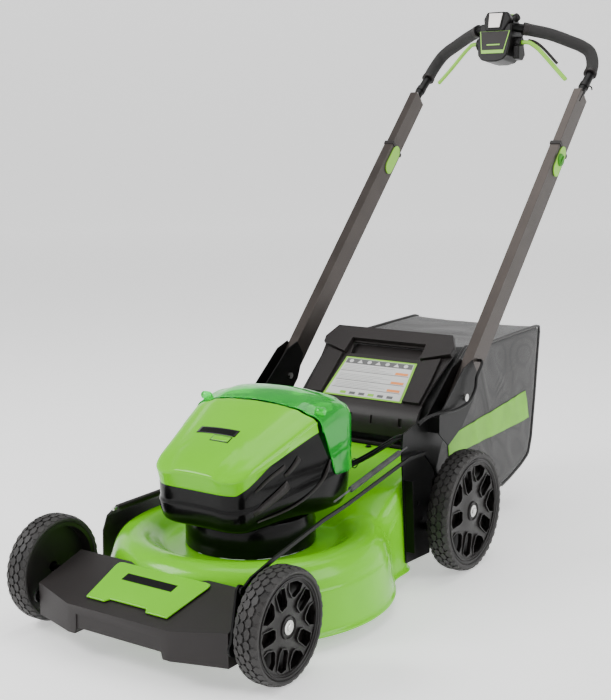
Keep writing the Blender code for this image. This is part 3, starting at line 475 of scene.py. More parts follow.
def walked(points, t):
    """A point at share t along a broken line, by its length."""
    points = [Vector(p) for p in points]
    steps = [(b - a).length for a, b in zip(points, points[1:])]
    left = t * sum(steps)
    for a, b, d in zip(points, points[1:], steps):
        if left <= d:
            return a.lerp(b, left / d)
        left -= d
    return points[-1]


print("tools ready")

# %% [markdown]
# ## The deck
#
# The deck is one steel sheet, drawn in a press into a round dish with a flared lip, a ledge that stiffens
# it, a ridge and a recess round the motor's seat, and a hump at the back that leads the grass up to the
# bag. It is drawn here the same way: rings of points run from the lip over the shoulder to the motor, and
# behind they follow the hump's boxy outline. Sheet steel never turns a corner sharply, so the rings are
# rounded.

# %% Deck shell
DECK_Y = 0.275
DISH = [
    (0.2850, 0.0235), (0.2852, 0.0275), (0.2815, 0.0300), (0.2795, 0.0345), (0.2772, 0.0550),
    (0.2752, 0.0800), (0.2738, 0.1000), (0.2728, 0.1060), (0.2705, 0.1085), (0.2695, 0.1140),
    (0.2668, 0.1250), (0.2622, 0.1350), (0.2560, 0.1440), (0.2480, 0.1505), (0.2390, 0.1545),
    (0.2300, 0.1563), (0.2230, 0.1568), (0.2150, 0.1562), (0.2080, 0.1542), (0.2000, 0.1500),
    (0.1920, 0.1448), (0.1840, 0.1385), (0.1760, 0.1325), (0.1680, 0.1293), (0.1600, 0.1288),
    (0.1440, 0.1284), (0.1240, 0.1280),
]
HUMP = [(0.385, 0.100), (0.440, 0.157), (0.520, 0.212), (0.5555, 0.2285), (0.600, 0.241), (0.668, 0.243)]


def boxed(angle, half, rear):
    """Distance from the deck's centre to the hump's rounded outline."""
    return (abs(math.cos(angle) / half) ** 9 + abs(math.sin(angle) / rear) ** 9) ** (-1 / 9)


HUMP_HALF, HUMP_REAR = 0.2075, 0.3930      # from the deck's centre to the hump's side and rear walls
SKIRT_HALF, SKIRT_REAR = 0.210, 0.2805     # and to its skirt below the shoulder
SHOULDER_RING, LEDGE_RING = 7, 9           # rings of DISH that end the lip and the upright wall
HUMP_ROUND = 0.024                         # radius of the hump's upper edge


def deck_point(u, v):
    """The deck's skin: u goes once round it, v from the lip to the motor's seat."""
    angle = 2 * math.pi * u
    k = round(v * (len(DISH) - 1))
    r, z = DISH[k]
    if math.sin(angle) <= 0:
        return at(r * math.cos(angle), DECK_Y + r * math.sin(angle), z)
    share = ease(math.degrees(math.asin(math.sin(angle))), 34, 52)
    lip = min(1.0, max(0, k - 3) / 6)
    grown = r - DISH[SHOULDER_RING][0]
    out = max(r, boxed(angle, SKIRT_HALF + grown, SKIRT_REAR + grown + lip * 0.112))
    over = max(0, k - LEDGE_RING)
    if over:
        edge = boxed(angle, HUMP_HALF, HUMP_REAR)
        in_step = min(1.0, over / 4)
        out = edge - HUMP_ROUND * (1 - math.cos(in_step * math.pi / 2))
        if over > 4:
            f = min(1.0, (over - 4) / 6)
            out += (DISH[min(k, 19)][0] - out) * f if over < 10 else r - out
    far = r + (out - r) * share
    x, y = far * math.cos(angle), DECK_Y + far * math.sin(angle)
    top = ramp(HUMP, y)
    if over:
        top -= 0.030 * (1 - math.sin(min(1.0, over / 4) * math.pi / 2))
        z += share * max(0.0, top - z) if over > 4 else share * (top - z)
    else:
        low = 0.0235 + 0.1235 * lip * ease(y, 0.50, 0.66)
        if lip:
            z += share * (low + (top - 0.030 - low) * (z - 0.0235) / 0.086 - z)
    return at(x, y, z)

# %% [markdown]
# The hump is open at the back, where the grass leaves it, so those faces are taken away. The sheet is
# then given its 1.8 mm of steel and rounded once.

# %% The deck's sheet
deck = surface(144, len(DISH) - 1, deck_point)
back = [f for f in deck.faces if f.calc_center_median().y > at(0, 0.652, 0).y and abs(f.normal.y) > 0.6]
bmesh.ops.delete(deck, geom=back, context="FACES")
piece("deck", deck, "chassis", lime_paint, "lime_paint", ["deck_shell"], wall=0.0018, rounds=1, sharp=180)
print("deck rings", len(DISH))

# %% [markdown]
# ## The motor
#
# A black ring seats the motor on the deck. Above it sits a moulded housing whose lower edge is well
# rounded, with a bulging panel and slanted ribs on each side. A green cover clips over its front and top,
# and a clear green lid behind closes the battery bay. All three are skins over the same plan, one just
# outside the other, so one function draws them: rings of that plan rise up the sides and close over the
# roof, which is arched from side to side and has two long shoulder lines.

# %% The motor's plan
PLAN = [
    (0.000, 0.1045), (0.050, 0.1040), (0.066, 0.1050), (0.080, 0.1085), (0.094, 0.1155),
    (0.1035, 0.1250), (0.110, 0.1480), (0.1300, 0.2400), (0.1470, 0.3200), (0.1500, 0.3480),
    (0.1505, 0.3900), (0.1420, 0.4140), (0.1100, 0.4370), (0.0800, 0.4480), (0.000, 0.4520),
]
ROOF = [
    (0.100, 0.3010), (0.104, 0.3025), (0.139, 0.3265), (0.200, 0.3540), (0.288, 0.3930),
    (0.330, 0.4060), (0.360, 0.4110), (0.400, 0.4090), (0.432, 0.3960), (0.456, 0.3640),
]
EDGE = [
    (1.0, 0.030), (0.995, 0.021), (0.982, 0.013), (0.962, 0.0070), (0.935, 0.0030), (0.90, 0.0010),
    (0.84, 0.0), (0.76, 0), (0.66, 0), (0.55, 0), (0.44, 0), (0.33, 0), (0.22, 0), (0.11, 0), (0.0, 0),
]


HOOD_CENTRE = Vector((0, 0.275))


def roof(x, y):
    """Height of the hood over a point of its plan: arched across, with a shoulder line on each side."""
    line = ramp([(0.10, 0.046), (0.14, 0.056), (0.30, 0.108), (0.46, 0.108)], y)
    return ramp(ROOF, y) - 0.015 * (x / 0.14) ** 2 - 0.0045 * ease(abs(x), line, line + 0.008)


def edge_drop(y):
    """How deep the rounding at the roof's edge is: tight in front, softer on the sides."""
    return ramp([(0.104, 0.14), (0.125, 0.25), (0.180, 0.55), (0.300, 0.75), (0.46, 1.0)], y)


def hood(grow, foot, rows, bulge, plan=PLAN):
    """A skin over the motor's plan: rows of (share of the height, inset) up the sides, then the roof."""
    count = len(rows) + len(EDGE)

    def shape(u, v):
        k = round(v * (count - 1))
        half = walked(plan, 1 - abs(2 * u - 1))
        side = 1 if u < 0.5 else -1
        p = Vector((side * half.x, half.y))
        out = (p - HOOD_CENTRE).normalized()
        if k < len(rows):
            share, inset = rows[k]
            low = foot(p.x, p.y)
            z = low + (roof(p.x, p.y) - 0.030 * edge_drop(p.y) - low) * share
            p += out * (grow - inset + bulge(p, z))
            return at(p.x, p.y, z + (grow if share >= 1 else 0))
        scale, drop = EDGE[k - len(rows)]
        drop *= edge_drop(p.y)
        p = HOOD_CENTRE + (p + out * grow - HOOD_CENTRE) * scale
        return at(p.x, p.y, roof(p.x, p.y) - drop + grow)

    return surface(120, count - 1, shape)

# %% [markdown]
# The housing is the lower shell. It is drawn in at its foot, swells into a panel on each side, and
# carries a thin step where the cover's edge comes down.

# %% The black housing
def side_bulge(p, z):
    """How far the side panel stands out."""
    band = ease(p.y, 0.150, 0.215) * (1 - ease(p.y, 0.36, 0.41)) * (1 if abs(p.x) > 0.10 else 0)
    return 0.0045 * band * ease(z, 0.20, 0.235) * (1 - ease(z, 0.300, 0.345))


HOUSING_FOOT = 0.1905
HOUSING_ROWS = [
    (0, 0.022), (0.02, 0.015), (0.05, 0.0105), (0.10, 0.0068), (0.17, 0.0038), (0.26, 0.0014), (0.36, 0),
    (0.42, 0), (0.46, 0.0022), (0.50, 0.0024), (0.64, 0.0012), (0.8, 0.001), (0.95, 0.001),
]
housing = hood(0, lambda x, y: HOUSING_FOOT, HOUSING_ROWS, side_bulge)
cut(housing, at(0, 0, 0.3795), (0, 0, 1))
piece("motor_shell", housing, "chassis", gloss_black, "gloss_black_plastic", ["motor_housing"], wall=0.003,
    rounds=1, sharp=180)
print("housing with", len(HOUSING_ROWS), "rows up its side")

# %% [markdown]
# The cover clips over the housing, 4 mm outside it. Its foot is level in front and climbs along each
# side, so the black panel shows under it.

# %% The green cover
def cover_foot(x, y):
    """The cover's lower edge: level in front, then a slope and a notch on each side."""
    slope = ramp([(0.100, 0.2660), (0.118, 0.2720), (0.212, 0.3290), (0.230, 0.3480), (0.2985, 0.3745)], y)
    return slope if abs(x) > 0.098 else 0.2660


COVER_GROW = 0.0042        # how far the cover lies outside the housing
COVER_ROWS = [(0, 0.0052), (0.06, 0.0050), (0.50, 0.0028), (0.86, 0.0008), (0.93, 0.0002), (0.985, 0.0)]
cover = hood(COVER_GROW, cover_foot, COVER_ROWS, lambda p, z: 0)
cut(cover, at(0, 0.2985, 0), (0, 1, 0))
piece("motor_hood", cover, "chassis", lime_plastic, "lime_plastic", ["motor_cover"], wall=0.0026, rounds=1,
    sharp=180)
print("cover with", len(COVER_ROWS), "rows")

# %% [markdown]
# The lid is moulded in clear green plastic, so the battery's state shows through it. It hinges at its
# front edge on two short pins, and its sides reach down past the cover.

# %% The clear lid
LID_PLAN = [(0.000, 0.290), (0.1480, 0.290), (0.1500, 0.3100), (0.1505, 0.3480)] + PLAN[10:]
LID_FOOT = [(0.300, 0.372), (0.3415, 0.262), (0.460, 0.258)]
LID_ROWS = [(0, 0), (0.03, -0.0006), (0.08, 0), (0.3, 0), (0.6, 0), (0.95, 0.0008)]
lid = hood(0.0046, lambda x, y: ramp(LID_FOOT, y), LID_ROWS, lambda p, z: 0, LID_PLAN)
cut(lid, at(0, 0.3025, 0), (0, -1, 0))
piece("lid", lid, "lid_body", clear_green, "clear_green_plastic", ["battery_lid"], wall=0.0022, rounds=1,
    sharp=180)
print("lid with", len(LID_ROWS), "rows")

# %% [markdown]
# Moulded ribs stiffen the thin side panel and let warm air leave between them. Each one is a strip laid
# along a line on the panel, tapered at both ends and crowned across.

# %% Ribs and hinge pins
SIDE = [
    (0.1155, 0.094), (0.125, 0.1035), (0.148, 0.110), (0.240, 0.130), (0.320, 0.147), (0.348, 0.150),
    (0.390, 0.1505),
]


def strip(points, width, lift):
    """A low rib laid on the housing's side: tapered at both ends, crowned across."""
    route = smooth_path([(0, y, z) for y, z in points], 8)

    def shape(u, v):
        k = min(round(v * (len(route) - 1)), len(route) - 2)
        along = (route[k + 1] - route[k]).normalized()
        across = Vector((0, -along.z, along.y))
        p = route[round(v * (len(route) - 1))] + across * (u - 0.5) * width * (0.55 + 0.45 * v)
        rise = lift * (1 - (2 * u - 1) ** 6) * min(1, 8 * v, 8 * (1 - v))
        return at(ramp(SIDE, p.y) + side_bulge(Vector((0.12, p.y)), p.z) + rise, p.y, p.z)

    return surface(12, len(route) - 1, shape)


ribs = [strip([(0.142, 0.2290), (0.182, 0.2480), (0.222, 0.2700)], 0.0190, 0.0052),
        strip([(0.150, 0.2120), (0.236, 0.2260), (0.300, 0.2560), (0.330, 0.2960)], 0.0060, 0.0034),
        strip([(0.146, 0.2700), (0.178, 0.2900), (0.214, 0.3060)], 0.0080, 0.0036),
        strip([(0.212, 0.2880), (0.232, 0.3010), (0.250, 0.3160)], 0.0110, 0.0040)]
# The ribs take the lighter charcoal finish, not the shell's gloss black, so they read lighter than the shell: a
# painted highlight for the shine along them.
piece("motor_ribs", mirrored(joined(*ribs)), "chassis", charcoal, "gloss_black_plastic", sharp=60)
ears = []
for sx in (-1, 1):
    pin = [at(sx * x, 0.3175, 0.3915) for x in (0.128, 0.131, 0.1445, 0.1475)]
    ears.append(tube(pin, lambda v: 0.0082 if 0.1 < v < 0.9 else 0.0062, 20))
piece("lid_ears", joined(*ears), "lid_body", clear_green, "clear_green_plastic", sharp=50)
print(len(ribs), "ribs a side,", len(ears), "hinge pins")

# %% [markdown]
# A dark plaque and a small framed tag are let into the cover, where a maker would put a name. They follow
# the roof's curve a hair above it, and are left blank.

# %% Blank plaque and tag
def hood_patch(x0, x1, y0, y1, lift):
    """A patch that lies on the cover's roof, lifted by a hair."""

    def shape(u, v):
        x, y = x0 + (x1 - x0) * u, y0 + (y1 - y0) * v
        return at(x, y, roof(x, y) + COVER_GROW + lift)

    return surface(16, 6, shape)


for name, (x0, x1, y0, y1, lift), finish, kind in (
    ("hood_plaque", (-0.0620, 0.0300, 0.1900, 0.2080, 0.0006), gloss_black, "gloss_black_plastic"),
    ("hood_tag", (-0.0160, 0.0270, 0.1720, 0.1880, 0.0006), gloss_black, "gloss_black_plastic"),
    ("hood_tag_face", (-0.0140, 0.0250, 0.1740, 0.1860, 0.0012), lime_plastic, "lime_plastic"),
):
    piece(name, hood_patch(x0, x1, y0, y1, lift), "chassis", finish, kind, wall=0.0008)
print("motor skins", len(PLAN))

# %% [markdown]
# ## Wheels
#
# Each wheel is a moulded plastic rim with a rubber tyre. The rim's disc has five forked spokes, which
# leave ten windows, wide and narrow in turn, and each window has a raised lip that stiffens it. A thin
# dish closes the rim behind the spokes. The tyre's tread is a field of six-sided lugs, none quite like
# its neighbour, so that it grips in every direction. One wheel is made at the origin and copied to its
# four places, in two sizes.

# %% The rim
def polar(radius, degrees, x=0.0):
    a = math.radians(degrees)
    return Vector((x, radius * math.cos(a), radius * math.sin(a)))


WIDE = [(0.755, -15), (0.775, 0), (0.755, 15), (0.63, 15), (0.50, 4), (0.50, -4), (0.63, -15)]
NARROW = [(0.715, -10), (0.76, 0), (0.715, 10), (0.45, 14), (0.375, 11), (0.375, -11), (0.45, -14)]
HALF = 0.024           # half the width of a wheel
WHEEL_FACE = 0.2885    # from the middle of the mower to a wheel's outer face


def rim(R):
    """The rim, facing +X, with its outer rim edge at x = HALF."""
    flange = [
        (0.0205, 0.772), (0.0195, 0.80), (0.0205, 0.812), (0.0232, 0.822), (0.0232, 0.835), (0.0212, 0.84),
        (0.0205, 0.862), (0.0215, 0.876), (-0.0215, 0.876), (-0.0215, 0.80), (0.010, 0.78), (0.0205, 0.772),
    ]
    section = [
        (0.0105, 0.775 * R), (0.0185, 0.775 * R), (0.0155, 0.55 * R), (0.0155, 0.29 * R),
            (0.0175, 0.24 * R),
        (0.0175, 0.0100), (0.0105, 0.0100), (0.0105, 0.775 * R),
    ]
    web = turned(section, (0, 0, 0), (1, 0, 0), 90)
    dish = turned([(0.0000, 0.80 * R), (0.0020, 0.80 * R), (0.0020, 0.0100), (0.0000, 0.0100),
        (0.0000, 0.80 * R)], (0, 0, 0), (1, 0, 0), 60)
    lips = []
    for k in range(10):
        shape = NARROW if k % 2 else WIDE
        hole = [polar(r * R, a + 36 * k, -0.03) for r, a in shape]
        web = carved(web, plate(hole, (0.09, 0, 0)))
        centre = sum(hole, Vector()) / len(hole)
        outline = [centre + (p - centre) * (1 + 0.0026 / (p - centre).length) for p in hole]
        lip = plate([Vector((0.0125, p.y, p.z)) for p in outline], (0.0068, 0, 0))
        lips.append(carved(lip, plate(hole, (0.09, 0, 0))))
    return joined(turned([(x, r * R) for x, r in flange], (0, 0, 0), (1, 0, 0), 90), web, dish, *lips)

# %% [markdown]
# The tyre is a plain turned casing with rows of lugs on it. Each lug is a low six-sided block that noise
# bends out of true, and the shoulder rows drop away at the edge, as on a moulded tyre.

# %% The tyre
def tyre(R, count):
    """A tyre of radius R with count lugs in each of its four rows."""
    wall = [(0.0180, 0.876), (0.0222, 0.885), (0.0240, 0.905), (0.0240, 0.93), (0.0226, 0.950),
        (0.0195, 0.966), (0.010, 0.974)]
    wall = wall + [(-x, r) for x, r in reversed(wall)] + [wall[0]]
    parts = [turned([(x, r * R) for x, r in wall], (0, 0, 0), (1, 0, 0), 96)]
    pitch = 2 * math.pi * R / count
    rows = ((-0.0178, 0.0064, 0.47), (-0.0062, 0.0066, 0.53), (0.0062, 0.0066, 0.53),
        (0.0178, 0.0064, 0.47))
    for row, (x0, wide, long) in enumerate(rows):
        for k in range(count):
            lug = bmesh.new()
            bmesh.ops.create_circle(lug, cap_ends=True, radius=1, segments=6)
            top = bmesh.ops.extrude_face_region(lug, geom=lug.faces[:])["geom"]
            top = {v for v in top if isinstance(v, bmesh.types.BMVert)}
            for v in lug.verts:
                wob = noise.noise(Vector((v.co.x * 1.3 + 7 * k, v.co.y * 1.3 + 5 * row, R))) * 0.30
                height = (0.9 if abs(x0) < 0.01 else 0.55) if v in top else -3.0
                grown = 0.93 if v in top else 1.06
                x = x0 + v.co.x * wide * grown * (1 + wob)
                along = (k + (row % 2) * 0.5) * pitch + v.co.y * pitch * long * grown * (1 - wob)
                r = R - 0.0009 + height * 0.001 - 26 * max(0.0, abs(x) - 0.011) ** 2
                v.co = polar(r, math.degrees(along / R), max(-0.0238, min(0.0238, x)))
            parts.append(lug)
    return joined(*parts)

# %% [markdown]
# A black cup keeps dust out of the bearing. A zinc washer and a bolt hold the wheel on its stub axle.

# %% The hub
def hub():
    """A black dust cup, a bright washer and a bolt with a six-sided head."""
    cup = turned([(0.0150, 0.0), (0.0150, 0.0215), (0.0205, 0.0205), (0.0212, 0.0190), (0.0185, 0.0175),
        (0.0185, 0.0)], (0, 0, 0), (1, 0, 0), 48)
    washer = turned([(0.0188, 0.0), (0.0188, 0.0125), (0.0203, 0.0125), (0.0206, 0.0118), (0.0206, 0)],
        (0, 0, 0), (1, 0, 0), 40)
    head = turned([(0.0206, 0.0), (0.0206, 0.0072), (0.0232, 0.0072), (0.0238, 0.0064), (0.0238, 0.0)],
        (0, 0, 0), (1, 0, 0), 6)
    shank = turned([(0.0205, 0.0), (0.0205, 0.0034), (0.0239, 0.0034), (0.0239, 0.0)], (0, 0, 0), (1, 0, 0),
        24)
    for part, slot in ((cup, 0), (washer, 1), (head, 1), (shank, 1)):
        for face in part.faces:
            face.material_index = slot
    return joined(cup, washer, head, shank)

# %% [markdown]
# Rubber shows dust in patches, so its shade drifts more than a plastic's. The front wheels are smaller
# than the rear ones, and the right-hand wheels are mirror images.

# %% Four wheels in place
rubber = material("rubber", (0.0125, 0.0112, 0.0105), 0.58, grain=(420, 0.5), shade=0.45, blotch=34)
WHEEL_FINISH = {
    "tyre": (rubber, "tyre_rubber"),
    "rim": (rim_plastic, "rim_plastic"),
    "hub_bolt": ([rim_plastic, zinc], "zinc_steel"),
}
for end, R, y, count, body in (("front", 0.1015, 0.0, 34, "front_axle_body"),
    ("rear", 0.127, 0.6705, 42, "rear_axle_body")):
    shapes = {"tyre": tyre(R, count), "rim": rim(R), "hub_bolt": hub()}
    for side, sign in (("left", 1), ("right", -1)):
        for kind, shape in shapes.items():
            bm = shape.copy()
            place = Matrix.Translation(at(sign * (WHEEL_FACE - HALF), y, R))
            bmesh.ops.transform(bm, matrix=place @ Matrix.Diagonal((sign, 1, 1, 1)), verts=bm.verts)
            finish, slot = WHEEL_FINISH[kind]
            carrier = body if kind == "hub_bolt" else f"{end}_{side}_wheel"
            bevel = 0.0005 if kind == "rim" else 0.0
            hidden = [f"{end}_{side}_{kind}"]
            piece(f"{end}_{side}_{kind}_look", bm, carrier, finish, slot, hidden, sharp=32, bevel=bevel)
print("wheels", {k: len(s.faces) for k, s in shapes.items()})

# %% [markdown]
# ## Hard parts that keep their frame shape
#
# Folded brackets, extruded tubes and simple mouldings already have their true shape in the frame. What
# the frame lacks is the small radius that a mould or a die leaves on every edge. Each gets it here, and
# its own finish.

# %% Rounded copies
def dressed(name, finish, kind, bevel, segments=2):
    """A CAD node's own shape, cleaned of extra edges and rounded."""
    bm = bmesh.new()
    bm.from_mesh(nodes[name].data)
    bmesh.ops.remove_doubles(bm, verts=bm.verts, dist=1e-6)
    bmesh.ops.dissolve_limit(bm, angle_limit=math.radians(0.6), verts=bm.verts, edges=bm.edges)
    bodies = frame["record"]["behaviour"]["bodies"]
    body = next(b for b, held in bodies.items() if name in held)
    o = piece(name + "_look", bm, body, finish, kind, [name], sharp=30, bevel=bevel, corner=26)
    o.modifiers["bevel"].segments = segments
    return o


for side in ("left", "right"):
    dressed(f"handle_bracket_{side}", powder_coat, "black_paint", 0.0012)
    dressed(f"lower_tube_{side}", bronze, "bronze_tube", 0.0055, segments=4)
    dressed(f"upper_tube_{side}", bronze, "bronze_tube", 0.0048, segments=4)
for name, finish, kind, bevel in (
    ("front_axle", powder_coat, "black_paint", 0.0008),
    ("rear_axle_carrier", powder_coat, "black_paint", 0.0008),
    ("height_link", powder_coat, "black_paint", 0.0007),
    ("height_lever", powder_coat, "black_paint", 0.0012),
    ("motor_base", gloss_black, "gloss_black_plastic", 0.0015),
    ("battery_pack", charcoal, "gloss_black_plastic", 0.0020),
    ("bag_frame", charcoal, "charcoal_plastic", 0.0012),
    ("drive_gearbox", gloss_black, "gloss_black_plastic", 0.0020),
    ("side_discharge_door", charcoal, "charcoal_plastic", 0.0012),
):
    dressed(name, finish, kind, bevel)
print("rounded copies made")

# %% [markdown]
# ## The nose
#
# The charcoal moulding in front hides the front axle. Its front wall stands back between two feet. The
# green badge plate lies on its slope, and the plate's dark plaque is left blank.

# %% The badge
SLOPE = Vector((0, 0.152, 0.043)).normalized()
RISE = Vector((0, -SLOPE.z, SLOPE.y))


def nose(x, s, h):
    """A point on the nose's slope: s up the slope from its front edge, h out of it."""
    return at(x, -0.1115, 0.0955) + SLOPE * s + RISE * h


def slab(place, outline, low, high):
    """A plate that lies on a sloping face, from one height above it to another."""
    return plate([place(*p, low) for p in outline], place(*outline[0], high) - place(*outline[0], low))


BADGE = [
    (-0.0935, 0.0245), (-0.0500, 0.0245), (-0.0445, 0.0335), (0.0400, 0.0335), (0.0455, 0.0245),
    (0.0935, 0.0245), (0.1085, 0.1240), (0.1060, 0.1330), (0.0960, 0.1350), (-0.0960, 0.1350),
    (-0.1060, 0.1330), (-0.1085, 0.1240),
]
badge = slab(nose, BADGE, 0.0012, 0.0052)
piece("badge_plate", badge, "chassis", lime_plastic, "lime_plastic", ["fascia_badge"], bevel=0.0022)
blank = slab(nose, [(-0.064, 0.088), (0.052, 0.088), (0.052, 0.108), (-0.064, 0.108)], 0.0050, 0.0056)
piece("badge_plaque", blank, "chassis", gloss_black, "gloss_black_plastic", bevel=0.0002)
print("badge plate and its blank plaque")

# %% [markdown]
# The moulding starts as a block of its plan. A slanted cut makes the slope, a wide cutter steps the wall
# back over the middle, and a taller one opens its lower edge. The floor and the back are then taken away,
# which leaves a shell.

# %% The charcoal moulding
NOSE = [
    (-0.118, -0.1120), (0.118, -0.1120), (0.2060, -0.0850), (0.2190, -0.0820), (0.2190, 0.030),
    (-0.2190, 0.030), (-0.2190, -0.0820), (-0.2060, -0.0850),
]
fascia = plate([at(x, y, 0.0420) for x, y in NOSE], (0, 0, 0.12))
cut(fascia, nose(0, 0, 0), RISE)
bmesh.ops.holes_fill(fascia, edges=fascia.edges, sides=0)
STEP = [(0.104, 0.030), (0.0985, 0.0535), (0.0975, 0.0795)]
ARCH = [(0.106, 0.02), (0.1015, 0.0430), (0.0960, 0.0535)]
for side, depth in ((STEP, 0.0900), (ARCH, 0.30)):
    outline = side + [(-x, z) for x, z in reversed(side)]
    fascia = carved(fascia, plate([at(x, -0.2, z) for x, z in outline], (0, depth, 0)))
bottom = [f for f in fascia.faces if f.normal.z < -0.6 and f.calc_center_median().z < 0.056]
behind = [f for f in fascia.faces if f.calc_center_median().y > at(0, 0.0295, 0).y]
bmesh.ops.delete(fascia, geom=bottom + behind, context="FACES")
piece("nose_moulding", fascia, "chassis", charcoal, "charcoal_plastic", ["front_fascia"], sharp=30,
    wall=0.0032, bevel=0.0022, corner=24)
print("nose dressed")

# %% [markdown]
# ## The rear door
#
# The door closes the grass chute when the bag is off. It is a ribbed moulding hinged on a rod: a rolled
# front edge, two raised columns, a thick head with a slot for the fingers, and a sunk panel that carries
# a printed label. The label here has only plain bars and marks.

# %% The door's panel
UP = Vector((0, 0.150, 0.1235)).normalized()
OUT = Vector((0, -UP.z, UP.y))


def door(x, s, h):
    """A point on the door: s up its slope, h out of it."""
    return at(x, 0.686, 0.333) + UP * s + OUT * h


PANEL = [
    (-0.151, 0.0), (0.151, 0.0), (0.154, 0.060), (0.162, 0.120), (0.168, 0.156), (0.150, 0.193),
    (-0.150, 0.193), (-0.168, 0.156), (-0.162, 0.120), (-0.154, 0.060),
]
SLOT = [(-0.086, 0.122), (0.086, 0.122), (0.092, 0.156), (-0.092, 0.156)]
HEAD = [
    (-0.165, 0.140), (-0.098, 0.118), (-0.0955, 0.160), (0.0955, 0.160), (0.098, 0.118), (0.165, 0.140),
    (0.168, 0.158), (0.149, 0.194), (-0.149, 0.194), (-0.168, 0.158),
]
panel = carved(slab(door, PANEL, -0.004, 0.001), slab(door, SLOT, -0.02, 0.02))
head = slab(door, HEAD, -0.004, 0.012)
columns = []
for sx in (-1, 1):
    column = ((0.104, 0.000), (0.146, 0.000), (0.148, 0.060), (0.146, 0.128), (0.103, 0.116))
    columns.append(slab(door, [(sx * x, s) for x, s in column], -0.002, 0.0085))
print(len(columns), "columns on the door")

# %% [markdown]
# The door's front edge is rolled round its hinge rod. Four short slots in it let clippings fall out.

# %% The rolled edge
ROLL = [
    (0.6632, 0.2620), (0.6600, 0.2750), (0.6592, 0.2880), (0.6606, 0.3010), (0.6660, 0.3130),
    (0.6750, 0.3235), (0.6868, 0.3335), (0.6910, 0.3290), (0.6790, 0.3170), (0.6710, 0.3050),
    (0.6675, 0.2900), (0.6675, 0.2620),
]
roll = plate([at(-0.152, y, z) for y, z in ROLL], (0.304, 0, 0))
for x, wide in ((-0.060, 0.002), (-0.012, 0.0015), (0.040, 0.0015), (0.112, 0.004)):
    corners = ((-wide, 0.286), (wide, 0.286), (wide, 0.304), (-wide, 0.304))
    roll = carved(roll, plate([at(x + dx, 0.655, z) for dx, z in corners], (0, 0.009, 0)))
shelf = slab(door, [(-0.090, 0.118), (0.090, 0.118), (0.094, 0.160), (-0.094, 0.160)], -0.0125, -0.0105)
piece("door_shell", joined(panel, head, roll, shelf, *columns), "door_body", charcoal, "charcoal_plastic",
    ["rear_door"], bevel=0.0014)
print("door rolled from", len(ROLL), "points")

# %% [markdown]
# A label is printed in a few flat inks. Each ink lies a hair above the one before it, so nothing flickers
# where two meet.

# %% The printed label
white = material("label_white", (0.55, 0.55, 0.54), 0.45, grain=(900, 0.05), shade=0.03)
grey = material("label_grey", (0.10, 0.10, 0.10), 0.45, grain=(900, 0.05), shade=0.03)
orange = material("label_orange", (0.75, 0.24, 0.06), 0.45, grain=(900, 0.05), shade=0.03)


def sticker(place, layers):
    """Flat printed shapes, each a hair above the last: (outline, height, slot)."""
    made = []
    for outline, height, number in layers:
        bm = slab(place, outline, height - 0.0002, height)
        for face in bm.faces:
            face.material_index = number
        made.append(bm)
    return joined(*made)


def bar(x0, x1, s0, s1, height, number):
    """A straight bar of ink for the sticker."""
    return [(x0, s0), (x1, s0), (x1, s1), (x0, s1)], height, number

# %% [markdown]
# The label's print is generic: three rows of thin bars with an orange tab each, a dark head with round
# and three-sided marks, and a foot of small blocks.

# %% Bars and marks
layers = [([(-0.101, -0.001), (0.101, -0.001), (0.0915, 0.111), (-0.0915, 0.111)], 0.0014, 0),
          ([(-0.095, 0.003), (0.095, 0.003), (0.0865, 0.107), (-0.0865, 0.107)], 0.0017, 1),
          ([(-0.086, 0.092), (0.086, 0.092), (0.0850, 0.106), (-0.0850, 0.106)], 0.0020, 2)]
for k, s in enumerate((0.070, 0.044, 0.022)):
    layers += [bar(-0.088, 0.087, s, s + 0.0012, 0.0020, 2),
        bar(0.052, 0.084, s + 0.003, s + 0.0095, 0.0020, 3)]
    layers += [bar(-0.084, 0.046 - 0.02 * ((j + k) % 3), s + 0.004 + 0.0042 * j, s + 0.0048 + 0.0042 * j,
        0.0020, 4) for j in range(4)]
for k in range(7):
    x = -0.072 + 0.0235 * k
    triangle = [(x - 0.007, 0.0945), (x + 0.007, 0.0945), (x, 0.1040)]
    angles = [math.radians(45 * j) for j in range(8)]
    disc = [(x + 0.0055 * math.cos(a), 0.099 + 0.0048 * math.sin(a)) for a in angles]
    layers.append((triangle if k % 2 else disc, 0.0023, 1))
for k in range(6):
    layers.append(bar(-0.060 + 0.024 * k, -0.045 + 0.024 * k, 0.006, 0.013, 0.0020, 2 if k % 3 else 0))
faint = material("label_print", (0.33, 0.33, 0.33), 0.45, grain=(900, 0.05), shade=0.03)
piece("door_label", sticker(door, layers), "door_body", [leaf_plastic, white, grey, orange, faint],
    "charcoal_plastic")
print("door and label", len(layers))

# %% [markdown]
# ## The grass bag
#
# The bag is black woven polyester sewn over a wire frame, with a piped seam round each side. Empty cloth
# never hangs flat: it sags between the seams, and creases run from the corners where the wire pulls it. A
# green band is printed along both sides.

# %% The bag's outline and cloth
BAG = [
    (0.7010, 0.1560), (0.7300, 0.1420), (0.7600, 0.1350), (0.8800, 0.1080), (1.0000, 0.0815),
    (1.0420, 0.0740), (1.0850, 0.0830), (1.1500, 0.1020), (1.1900, 0.1200), (1.2050, 0.1600),
    (1.2200, 0.2600), (1.2320, 0.3600), (1.2395, 0.4180), (1.2370, 0.4320), (1.2200, 0.4345),
    (1.1000, 0.4335), (0.9800, 0.4315), (0.8850, 0.4310), (0.8500, 0.4400), (0.8300, 0.4300),
    (0.7700, 0.3800), (0.7100, 0.3300), (0.6990, 0.3160), (0.6990, 0.2400),
]
BAG_MIDDLE = Vector((0.960, 0.270))
BAG_HALF = 0.1715


def crease(y, z, x=0.0):
    """How far the cloth lies in or out of a flat panel: slow sags with sharper folds on them."""
    slow = noise.noise(Vector((y * 6.5, z * 7.5, x * 6 + 3.1)))
    fold = 1 - abs(noise.noise(Vector((y * 11 + z * 7, z * 5 - y * 3, x * 9 + 8.7)))) * 3.2
    return 0.0035 * slow + 0.0022 * max(0.0, fold)


